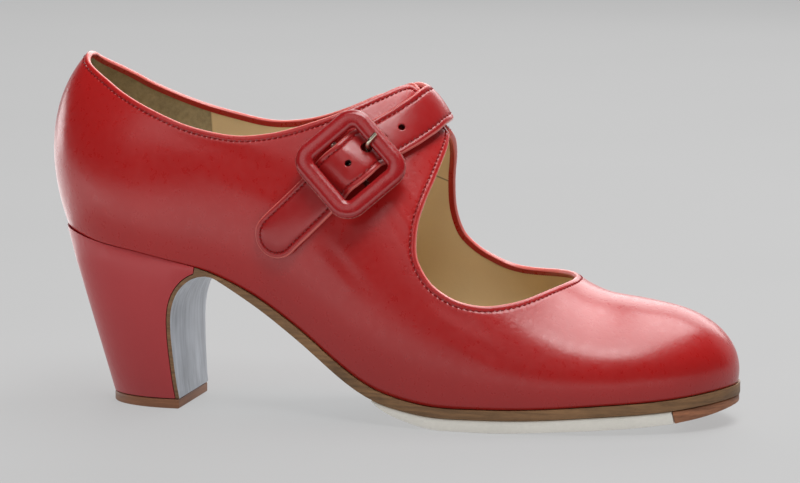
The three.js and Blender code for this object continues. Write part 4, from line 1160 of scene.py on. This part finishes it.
def strap_net(outline, border, seam, holes):
    """Plan points and triangles of the strap's face, with rows of points along its edge, seam and holes."""
    along_edge = (0.85, 1.2, seam - 0.32, seam - 0.14, seam, seam + 0.14, seam + 0.32, seam + 0.9)
    rings = [inset(outline, d) for d in along_edge]
    for centre, radius in holes:
        rings += [circle(centre, radius + 0.5), circle(centre, radius + 0.9)]
    x, y = np.meshgrid(np.arange(1.0, COURSE["total"], 1.1), np.arange(-8.0, 8.01, 1.0), indexing="ij")
    grid = np.stack([x.ravel(), y.ravel()], -1)
    grid = grid[inside_loop(grid, border) & (loop_distance(grid, outline) > seam + 1.4)]
    for centre, radius in holes:
        grid = grid[np.linalg.norm(grid - centre, axis=1) > radius + 1.3]
    loops = [border] + [circle(centre, radius + HOLE_BREAK) for centre, radius in holes]
    lines, base = [], 0
    for loop in loops:
        lines += [(base + i, base + (i + 1) % len(loop)) for i in range(len(loop))]
        base += len(loop)
    plan, faces = triangles(np.concatenate(loops + rings + [grid]), lines)
    middle = plan[faces].mean(1)
    keep = inside_loop(middle, border)
    for loop in loops[1:]:
        keep &= ~inside_loop(middle, loop)
    return used_only(plan, faces[keep])


def strap_surface(roll, seam, thick):
    """The strap's closed skin: plan points with heights, faces, and each point's distance from the edge."""
    outline = strap_outline()
    fine = spaced(outline, FINE_STEP)
    centres = [np.array((COURSE["buckle"] - share * FRAME_HALF_LONG, 0.0)) for share in HOLES]
    radii = [PRONG_HOLE_RADIUS if share == HOLES[1] else HOLE_RADIUS for share in HOLES]
    holes = list(zip(centres, radii))
    plan, faces = strap_net(outline, inset(outline, roll), seam, holes)
    away = loop_distance(plan, fine)
    top = thick - 0.2 * bell(away - seam, 0.25) + 0.08 * bell(away - 1.1, 0.5)
    tail = 1 / (1 + np.exp(-(plan[:, 0] - COURSE["buckle"] - 1.7 * FRAME_HALF_LONG) / 2))
    top = top + STRAP_PUFF * (1 + 1.3 * tail) * (1 - np.exp(-np.maximum(away - seam, 0) / 1.8))
    count = len(plan)
    plans, heights, marks = [plan, plan], [top, np.zeros(count)], [away, np.full(count, FAR)]
    border = border_of(faces)
    ring_of, total, steps = {}, 2 * count, 5
    for i in sorted({i for edge in border for i in edge}):
        hole = next((h for h in holes if np.linalg.norm(plan[i] - h[0]) < h[1] + 0.3), None)
        if hole is None:
            toward = unit(fine[((fine - plan[i]) ** 2).sum(1).argmin()] - plan[i])
            angles = [math.pi * q / (steps + 1) for q in range(1, steps + 1)]
            rows = [(plan[i] + toward * roll * math.sin(t), top[i] / 2 * (1 + math.cos(t))) for t in angles]
        else:
            toward = unit(hole[0] - plan[i])
            wall = ((0.13, thick - 0.08), (0.22, thick - 0.3), (0.22, thick * 0.5), (0.22, 0.3), (0.13, 0.08))
            rows = [(plan[i] + toward * s, h) for s, h in wall]
        ring_of[i] = list(range(total, total + steps))
        total += steps
        plans.append(np.array([row[0] for row in rows]))
        heights.append(np.array([row[1] for row in rows]))
        marks.append(np.full(steps, 0.0 if hole is None else IN_HOLE))
    skin = walled(faces, count, border, ring_of)
    return np.concatenate(plans), np.concatenate(heights), skin, np.concatenate(marks)


# Stitches


def even_pitch(total, pitch):
    """The pitch that puts a whole number of stitches in a seam."""
    return total / round(total / pitch)


def stitch_places(total, pitch):
    """The middles of the stitches along a seam."""
    return (np.arange(round(total / pitch)) + 0.5) * pitch


def stitch_mesh(middles, aheads, ups, length):
    """Short rounded threads, one closed body for each stitch."""
    points, faces, sides, tip = [], [], 8, 0.52
    profile = ((-0.5, 0.55), (-0.36, 0.95), (0.0, 1.08), (0.36, 0.95), (0.5, 0.55))
    turns = [(math.cos(t), math.sin(t)) for t in (2 * math.pi * q / sides for q in range(sides))]
    for middle, ahead, up in zip(middles, aheads, ups):
        up = unit(up - ahead * float(np.dot(up, ahead)))
        flat = np.cross(ahead, up)
        base = len(points)
        points.append(middle - ahead * length * tip)
        for s, r in profile:
            bowed = middle + ahead * length * s + up * STITCH_RADIUS * (0.25 - abs(s) * 1.1)
            points += [bowed + (flat * c + up * z) * STITCH_RADIUS * r for c, z in turns]
        points.append(middle + ahead * length * tip)
        end = base + 1 + (len(profile) - 1) * sides
        for q in range(sides):
            p = (q + 1) % sides
            faces.append((base, base + 1 + p, base + 1 + q))
            for a in range(base + 1, end, sides):
                faces.append((a + q, a + p, a + sides + p, a + sides + q))
            faces.append((end + q, end + p, end + sides))
    return points, faces


def stitches(name, material, line, run, up, pitch, slot):
    """A row of stitches as one piece."""
    points, faces = stitch_mesh(line, run, up, pitch * STITCH_SHARE)
    piece = mesh_piece(name, points, outward_faces(points, faces), 60)
    finished_in(piece, material)
    done(piece, slot)


# Bars and rods of the buckle


def buckle_seat():
    """The buckle's place: along the strap towards its sewn end, sideways and outward, and its middle."""
    d = COURSE["buckle"] + np.array([0.0, -5.0, 5.0])
    k, a = np.interp(d, COURSE["d"], COURSE["k"]), np.interp(d, COURSE["d"], COURSE["a"])
    points = across(k, a)
    out = across_normal(k, a)[0]
    toward = points[1] - points[2]
    toward = unit(toward - out * float(toward @ out))
    side = np.cross(out, toward)
    middle = (points[0] + side * FRAME_SHIFT) * MM
    rows = np.stack([toward, side, out, middle], -1)
    return Matrix(rows.tolist() + [[0, 0, 0, 1]])


def bar_section(wide, thick, sides):
    """A flat closed curve shaped like a rounded bar's section."""
    curve = bpy.data.curves.new("bar_section", "CURVE")
    curve.dimensions = "2D"
    line = curve.splines.new("POLY")
    line.points.add(sides - 1)
    flatness = 0.72
    for q, spot in enumerate(line.points):
        t = 2 * math.pi * q / sides
        c, s = math.cos(t), math.sin(t)
        x = math.copysign(abs(c) ** flatness, c) * wide / 2 * MM
        y = math.copysign(abs(s) ** flatness, s) * thick / 2 * MM
        spot.co = (x, y, 0, 1)
    line.use_cyclic_u = True
    section = bpy.data.objects.new("bar_section", curve)
    bpy.context.scene.collection.objects.link(section)
    return section


def rounded_ring(name, out, height, bar, sides=28):
    """A bar round the buckle's rounded square, moved out from its middle line, as a mesh."""
    section = bar_section(*bar, sides)
    nothing_selected()
    bpy.ops.mesh.primitive_plane_add(size=2)
    ring = bpy.context.object
    ring.scale = ((FRAME_HALF_LONG + out) * MM, (FRAME_HALF_WIDE + out) * MM, 1)
    ring.location = (0, 0, height * MM)
    bpy.ops.object.transform_apply(location=True, rotation=True, scale=True)
    bpy.ops.object.mode_set(mode="EDIT")
    bpy.ops.mesh.select_all(action="SELECT")
    bpy.ops.mesh.bevel(offset=(FRAME_CORNER + out) * MM, segments=14, affect="VERTICES")
    bpy.ops.mesh.delete(type="ONLY_FACE")
    bpy.ops.mesh.select_all(action="SELECT")
    bpy.ops.mesh.subdivide(number_cuts=1)
    bpy.ops.object.mode_set(mode="OBJECT")
    bpy.ops.object.convert(target="CURVE")
    ring.data.dimensions = "3D"
    ring.data.twist_mode = "Z_UP"
    ring.data.bevel_mode = "OBJECT"
    ring.data.bevel_object = section
    bpy.ops.object.convert(target="MESH")
    ring = bpy.context.object
    ring.name = name
    bpy.data.objects.remove(section)
    return ring


def rod(name, points, radius):
    """A round rod through millimetre points, as a mesh with closed ends."""
    curve = bpy.data.curves.new(name, "CURVE")
    curve.dimensions = "3D"
    curve.bevel_depth = radius * MM
    curve.bevel_resolution = 6
    curve.use_fill_caps = True
    line = curve.splines.new("POLY")
    line.points.add(len(points) - 1)
    for spot, p in zip(line.points, points):
        spot.co = (p[0] * MM, p[1] * MM, p[2] * MM, 1)
    new_piece(name, curve)
    bpy.ops.object.convert(target="MESH")
    piece = bpy.context.object
    piece.name = name
    closed_skin()
    return piece


def joined(name, *pieces):
    """Pieces made one."""
    nothing_selected()
    for piece in pieces:
        piece.select_set(True)
    bpy.context.view_layer.objects.active = pieces[0]
    bpy.ops.object.join()
    pieces[0].name = name
    return pieces[0]


# Settings


def size_setting(name, description, millimetres, least, most):
    """A length that the user may change."""
    return bpy.props.FloatProperty(name=name, description=description, default=millimetres * MM,
                                   min=least * MM, max=most * MM, subtype="DISTANCE", unit="LENGTH",
                                   precision=5)


def angle_setting(name, description, degrees):
    """An angle that the user may change."""
    return bpy.props.FloatProperty(name=name, description=description, default=math.radians(degrees),
                                   subtype="ANGLE")


def colour_setting(name, description, red, green, blue):
    """A colour that the user may change, by the 0 to 255 values a picture shows."""
    return bpy.props.FloatVectorProperty(name=name, description=description, default=linear(red, green, blue),
                                         size=3, min=0.0, max=1.0, subtype="COLOR")


class ShoeSettings(bpy.types.PropertyGroup):
    """Sizes and colours of the shoe's details, and the camera's place."""

    stitch_pitch: size_setting("Stitch Pitch", "Distance from one stitch to the next", 1.83, 1.0, 4.0)
    stitch_inset: size_setting("Stitch Inset", "Distance of the upper's stitching from its folded edge",
                               2.1, 1.2, 4.0)
    fold_radius: size_setting("Fold Radius", "Reach of the leather's folded edge", 0.6, 0.4, 1.5)
    seam_groove: size_setting("Stitch Groove", "Depth that the stitches pull the leather in", 0.18, 0.0, 0.5)
    edge_break: size_setting("Edge Break", "Rounding of the sole's and the heel's edges", 0.3, 0.05, 0.8)
    upper_red: colour_setting("Upper", "Leather of the upper", 180, 27, 26)
    strap_red: colour_setting("Strap", "Leather of the strap", 168, 27, 28)
    buckle_red: colour_setting("Buckle", "Leather round the buckle's frame", 162, 24, 28)
    tab_red: colour_setting("Buckle Tab", "Leather of the tab under the buckle", 146, 24, 26)
    # The heel's cover is red leather like the upper's; its paler, pinker colour is painted reflection of the
    # floor.
    heel_red: colour_setting("Heel", "Leather that covers the heel", 190, 50, 54)
    thread: colour_setting("Thread", "Thread of the stitching", 158, 27, 27)
    buckle_edge: colour_setting("Buckle Edge", "Fine pale edge round the buckle's frame", 206, 128, 122)
    lining: colour_setting("Lining", "Leather that lines the upper", 242, 220, 176)
    heel_grip: colour_setting("Heel Grip", "Suede lining at the back of the heel", 186, 174, 140)
    insole: colour_setting("Insole", "Leather under the foot", 186, 156, 110)
    metal: colour_setting("Prong", "Metal of the buckle's prong", 206, 196, 176)
    axle: colour_setting("Axle", "Metal of the buckle's axle", 170, 160, 150)
    sole_edge: colour_setting("Sole Edge", "Cut edge of the leather sole", 156, 116, 78)
    sole_under: colour_setting("Sole", "Underside of the leather sole", 190, 158, 120)
    waist_paint: colour_setting("Waist Paint", "Paint on the heel's front and the waist", 208, 212, 220)
    pad: colour_setting("Forefoot Pad", "Pale walking layer", 252, 248, 238)
    toe_piece: colour_setting("Toe Piece", "Brown layer under the toe", 188, 124, 88)
    heel_tip: colour_setting("Heel Tip", "Brown top piece at the floor", 160, 106, 74)
    camera_turn: angle_setting("Camera Turn", "Angle of the camera round the shoe from its outer side", 13.2)
    camera_rise: angle_setting("Camera Rise", "Angle of the camera above the floor", 8.0)


def seated(piece, place):
    """A part of the buckle moved to its place, and selected by itself."""
    piece.data.transform(place)
    only(piece)


class SHOE_OT_upper(bpy.types.Operator):
    """Builds the red upper with its folded, stitched opening, and the lining inside it"""

    bl_idname = "shoe.build_upper"
    bl_label = "Build Upper"

    def execute(self, context):
        s = context.scene.shoe_settings
        seam_at, roll = s.stitch_inset / MM, s.fold_radius / MM
        reach = reach_along(EDGE_AT)
        total = float(reach[-1])
        pitch = even_pitch(total, s.stitch_pitch / MM)
        rings = [0.85, 1.2, 1.5] + [seam_at + d for d in (-0.28, -0.12, 0.0, 0.12, 0.28)] + [2.9, 3.5, 4.3]
        chart, place, n, faces = leather_net(roll, rings, *UPPER_NET)
        away, near = edge_distance(place)
        groove = s.seam_groove / MM * bell(away - seam_at, 0.25)
        raised = bridge_pad(chart[:, 0], chart[:, 1])
        outer = groove - FOLD_PUFF * bell(away - 1.2, 0.6) - raised + creased(place)
        inner = np.interp(away, (FOLD_FROM, FOLD_TO), (FOLDED_WALL, WALL)) - raised
        points, skin, from_rows = shell(place, n, faces, chart, outer, inner, roll)
        upper = mesh_piece("upper_leather", points, outward_faces(points, skin), SOFT)
        marks = [np.minimum(away, FAR), np.full(len(place), FAR), np.zeros(len(from_rows))]
        point_value(upper, "edge_mm", np.concatenate(marks))
        point_value(upper, "along_mm", reach[np.concatenate([near, near, near[from_rows]])])
        finished_in(upper, red_leather("upper_red", s.upper_red, 0.3, seam=(seam_at, pitch)))
        done(upper, "red_leather", "upper")

        chart, place, n, faces = leather_net(LINING_EDGE, [2.8, 3.4, 4.2], *LINING_NET)
        away, _ = edge_distance(place)
        depth = LINING_DEPTH + np.clip((away - LINING_EDGE) / 3, 0, 1) * 0.1
        points, skin, _ = shell(place, n, faces, chart, depth, depth + LINING_WALL, LINING_ROLL)
        lining = mesh_piece("upper_lining", points, outward_faces(points, skin), FINE)
        finished_in(lining, lining_leather("lining_tan", s.lining, 0.8, s.heel_grip))
        done(lining, "lining_leather")

        at = stitch_places(total, pitch)
        path = EDGE + EDGE_STEP * seam_at
        places = (at, at + STITCH_LOOK, at - STITCH_LOOK)
        seam, ahead, behind = (sampled(where, reach, path).T for where in places)
        line, up = across(*seam), across_normal(*seam)
        kept = edge_distance(line)[0] > FOLDED_OVER * seam_at
        run = unit(across(*ahead) - across(*behind))
        line = line + up * (bridge_pad(*seam) - 0.1)[:, None]
        thread = twisted_thread("thread_red", s.thread)
        stitches("upper_stitches", thread, line[kept], run[kept], up[kept], pitch, "red_leather")
        return {"FINISHED"}


class SHOE_OT_strap(bpy.types.Operator):
    """Builds the strap with its punched holes and stitching"""

    bl_idname = "shoe.build_strap"
    bl_label = "Build Strap"

    def execute(self, context):
        s = context.scene.shoe_settings
        outline = spaced(strap_outline(), FINE_STEP)
        plan, height, skin, marks = strap_surface(s.fold_radius / MM, STRAP_SEAM, STRAP_THICK)
        along, total = loop_along(plan, outline)
        pitch = even_pitch(total, s.stitch_pitch / MM)
        points = strap_place(plan, height)
        strap = mesh_piece("strap_leather", points, outward_faces(points, skin), SOFT)
        point_value(strap, "edge_mm", marks)
        point_value(strap, "along_mm", along)
        finished_in(strap, red_leather("strap_red", s.strap_red, 0.33, coat=0.2, seam=(STRAP_SEAM, pitch)))
        done(strap, "strap_leather", "strap")

        row = inset(outline, STRAP_SEAM)
        ring = np.concatenate([row, row[:1]])
        reach = np.arange(len(ring)) * total / len(row)
        at = stitch_places(total, pitch)
        places = (at, at + STITCH_LOOK, at - STITCH_LOOK)
        seam, ahead, behind = (sampled(where % total, reach, ring) for where in places)
        line = strap_place(seam, STRAP_THICK - 0.12)
        up = unit(strap_place(seam, STRAP_THICK + 1.0) - line)
        run = unit(strap_place(ahead, STRAP_THICK) - strap_place(behind, STRAP_THICK))
        thread = twisted_thread("strap_thread_red", s.thread)
        stitches("strap_stitches", thread, line, run, up, pitch, "strap_leather")
        return {"FINISHED"}


class SHOE_OT_buckle(bpy.types.Operator):
    """Builds the covered buckle with its axle and prong, and finishes its tab"""

    bl_idname = "shoe.build_buckle"
    bl_label = "Build Buckle"

    def execute(self, context):
        s = context.scene.shoe_settings
        place = buckle_seat()
        ring = rounded_ring("buckle_frame_leather", 0.0, FRAME_LIFT, FRAME_BAR)
        finished_in(ring, red_leather("buckle_red", s.buckle_red, 0.24, cloud=0.25, coat=0.4))
        bends = [(0, y, z) for y, z in ((12.4, 5.2), (10.2, 5.0), (7.8, AXLE_LIFT))]
        axle = rod("axle", [(x, -y, z) for x, y, z in bends] + bends[::-1], AXLE_RADIUS)
        finished_in(axle, bright_metal("axle_steel", s.axle))
        buckle = joined("buckle_frame_leather", ring, axle)
        seated(buckle, place)
        closed_skin()
        smooth(FINE)
        done(buckle, "buckle_leather", "buckle_frame")

        seam = rounded_ring("buckle_seam", EDGE_OUT, FRAME_LIFT - 0.1, EDGE_BAR, 8)
        finished_in(seam, twisted_thread("buckle_seam_red", s.buckle_edge, 0.4))
        seated(seam, place)
        smooth(FINE)
        done(seam, "buckle_leather")

        path = [(x * FRAME_HALF_LONG, PRONG_SIDE + y, z * FRAME_LIFT) for x, z, y in PRONG]
        needle = rod("needle", through(path, 40), PRONG_RADIUS)
        nothing_selected()
        bpy.ops.mesh.primitive_torus_add(major_radius=EYE_RADIUS * MM, minor_radius=EYE_BAR * MM,
                                         major_segments=32, minor_segments=12,
                                         rotation=(math.pi / 2, 0, 0),
                                         location=(0, PRONG_SIDE * MM, AXLE_LIFT * MM))
        bpy.ops.object.transform_apply(location=True, rotation=True, scale=True)
        prong = joined("buckle_prong_metal", needle, bpy.context.object)
        finished_in(prong, bright_metal("prong_nickel", s.metal))
        seated(prong, place)
        smooth(FINE)
        done(prong, "pale_metal", "buckle_prong")

        tab = frame["nodes"]["buckle_tab"]
        finished_in(tab, red_leather("tab_red", s.tab_red, 0.36))
        return {"FINISHED"}


class SHOE_OT_heel(bpy.types.Operator):
    """Builds the covered heel and its top piece"""

    bl_idname = "shoe.build_heel"
    bl_label = "Build Heel"

    def execute(self, context):
        s = context.scene.shoe_settings
        heel = carried("heel", "heel_cover", s.edge_break)
        # the heel's paler, pinker red is painted reflection of the floor
        finished_in(heel, red_leather("heel_red", s.heel_red, 0.36, deep=0.72))
        done(heel, "heel_cover", "heel")
        tip = carried("heel_tip", "heel_tip_rubber", s.edge_break * 1.6)
        finished_in(tip, stacked_edge("tip_brown", s.heel_tip, 0.5))
        done(tip, "brown_sole", "heel_tip")
        return {"FINISHED"}


def sole_layer(n, c):
    """Which of the sole's materials a face shows: 0 the cut edge, 1 the painted waist, 2 the underside."""
    waist_end, paint_end = 0.085, 0.09
    if n.z < -0.5 and c.x > waist_end:
        return 2
    off_edges = n.z < 0.15 and abs(n.y) < 0.62
    return int(off_edges and (n.x > 0.3 or n.z < -0.3) and c.x < paint_end)


class SHOE_OT_sole(bpy.types.Operator):
    """Builds the leather sole with its painted waist, the walking layers and the insole"""

    bl_idname = "shoe.build_sole"
    bl_label = "Build Sole"

    def execute(self, context):
        s = context.scene.shoe_settings
        sole = carried("outsole", "outsole_leather", s.edge_break)
        finished_in(sole, stacked_edge("sole_edge_brown", s.sole_edge, 0.36, 0.9),
                    brushed_paint("breast_silver", s.waist_paint),
                    pale_layer("sole_leather_tan", s.sole_under, 0.7))
        for face in sole.data.polygons:
            face.material_index = sole_layer(face.normal, face.center)
        done(sole, "sole_leather", "outsole")
        pad = carried("forefoot_pad", "forefoot_pad_pale", s.edge_break)
        finished_in(pad, pale_layer("pad_cream", s.pad, 0.92))
        done(pad, "pale_sole", "forefoot_pad")
        toe = carried("toe_piece", "toe_piece_brown", s.edge_break)
        finished_in(toe, stacked_edge("toe_piece_brown", s.toe_piece, 0.45, 1.1))
        done(toe, "brown_sole", "toe_piece")
        inside = carried("insole", "insole_leather", 0.25 * MM)
        finished_in(inside, lining_leather("insole_tan", s.insole, 0.6))
        done(inside, "lining_leather", "insole")
        return {"FINISHED"}


def direction(turn, rise):
    """The way out from the shoe at an angle round it and one above the floor."""
    return Vector((math.sin(turn) * math.cos(rise), -math.cos(turn) * math.cos(rise), math.sin(rise)))


def make_floor():
    """A floor that curves up into a wall at the back."""
    bend = [(2.2 + 0.8 * math.cos(t), 0.8 + 0.8 * math.sin(t)) for t in np.linspace(-math.pi / 2, 0, 13)]
    profile = [(-3.0, 0.0)] + bend + [(3.0, 3.0)]
    points = [(x, y, z) for y, z in profile for x in (-4.0, 4.0)]
    faces = [(i, i + 1, i + 3, i + 2) for i in range(0, 2 * len(profile) - 2, 2)]
    floor = mesh_piece("floor", np.array(points) / MM, faces, 40)
    grey = ("floor_grey", 3.0, linear(92, 92, 92), linear(88, 88, 88))
    material, shader = stage_finish(*grey, 0.85, 0.1, (0.3, 0.7))
    shader.inputs["Emission Color"].default_value = (1, 1, 1, 1)
    shader.inputs["Emission Strength"].default_value = 0.425
    finished_in(floor, material)


def make_surroundings(scene):
    """A dim even world."""
    scene.world = bpy.data.worlds.new("surroundings")
    scene.world.use_nodes = True
    background = scene.world.node_tree.nodes["Background"]
    background.inputs["Color"].default_value = (0.06, 0.06, 0.062, 1)
    background.inputs["Strength"].default_value = 1.0


def make_lamp(name, turn, rise, far, wide, high, bright):
    """One lamp of the table, which the camera doesn't see."""
    middle, turn = Vector(LIT_AT), math.radians(turn)
    spot = middle + direction(turn, math.radians(rise)) * far
    nothing_selected()
    bpy.ops.object.light_add(type="AREA", location=spot)
    lamp = bpy.context.object
    lamp.name = name
    lamp.data.shape = "RECTANGLE"
    lamp.data.size, lamp.data.size_y = wide, high
    lamp.data.energy = bright * math.pi * wide * high
    lamp.rotation_euler = (middle - spot).to_track_quat("-Z", "Y").to_euler()
    if name == "overhead":
        lamp.rotation_euler = (0, math.radians(16), math.radians(90))
    if name.endswith("card"):
        lamp.location.z = 0.03
        lamp.rotation_euler = (math.pi - math.radians(8), 0, turn)
    lamp.visible_camera = False


def make_board():
    """A dark board that the camera doesn't see, in front of the shoe, against the far floor's reflections."""
    nothing_selected()
    bpy.ops.mesh.primitive_cube_add(size=1, location=(0.08, -0.66, 0.11))
    board = bpy.context.object
    board.name = "dark_board"
    board.scale = (3.6, 0.01, 0.2)
    bpy.ops.object.transform_apply(location=True, rotation=True, scale=True)
    board.visible_camera = False
    material, _ = stage_finish("board_black", 40.0, linear(24, 24, 24), linear(14, 14, 14), 0.9, 0.05)
    finished_in(board, material)


def make_camera(scene, turn, rise):
    """The camera that sees the shoe as the photo does."""
    back = direction(turn, rise)
    nothing_selected()
    bpy.ops.object.camera_add(location=Vector(CAMERA_AIM) + back * CAMERA_FAR)
    camera = bpy.context.object
    camera.rotation_euler = (-back).to_track_quat("-Z", "Y").to_euler()
    camera.data.lens = LENS
    camera.data.sensor_width = SENSOR
    camera.data.clip_start, camera.data.clip_end = 0.05, 30
    camera.data.dof.use_dof = False
    scene.camera = camera


class SHOE_OT_stage(bpy.types.Operator):
    """Makes the floor, the lights, the surroundings and the camera"""

    bl_idname = "shoe.build_stage"
    bl_label = "Build Stage"

    def execute(self, context):
        s = context.scene.shoe_settings
        make_floor()
        make_surroundings(context.scene)
        for row in LIGHTS:
            make_lamp(*row)
        make_board()
        make_camera(context.scene, s.camera_turn, s.camera_rise)
        context.scene.view_settings.view_transform = "Standard"
        nothing_selected()
        return {"FINISHED"}


class SHOE_PT_panel(bpy.types.Panel):
    """The shoe's steps and sizes"""

    bl_label = "Flamenco Shoe"
    bl_idname = "SHOE_PT_panel"
    bl_space_type = "VIEW_3D"
    bl_region_type = "UI"
    bl_category = "Shoe"

    def draw(self, context):
        settings = context.scene.shoe_settings
        for name in ShoeSettings.__annotations__:
            self.layout.prop(settings, name)
        for step in STEPS:
            self.layout.operator(step.bl_idname)


STEPS = (SHOE_OT_upper, SHOE_OT_strap, SHOE_OT_buckle, SHOE_OT_heel, SHOE_OT_sole, SHOE_OT_stage)
CLASSES = (ShoeSettings, *STEPS, SHOE_PT_panel)


def register():
    """The settings, steps and panel made known."""
    for cls in CLASSES:
        bpy.utils.register_class(cls)
    bpy.types.Scene.shoe_settings = bpy.props.PointerProperty(type=ShoeSettings)


def unregister():
    """The settings, steps and panel taken away."""
    del bpy.types.Scene.shoe_settings
    for cls in reversed(CLASSES):
        bpy.utils.unregister_class(cls)


def main():
    """Every step once."""
    register()
    bpy.ops.shoe.build_upper()
    bpy.ops.shoe.build_strap()
    bpy.ops.shoe.build_buckle()
    bpy.ops.shoe.build_heel()
    bpy.ops.shoe.build_sole()
    bpy.ops.shoe.build_stage()


if __name__ == "__main__":
    main()
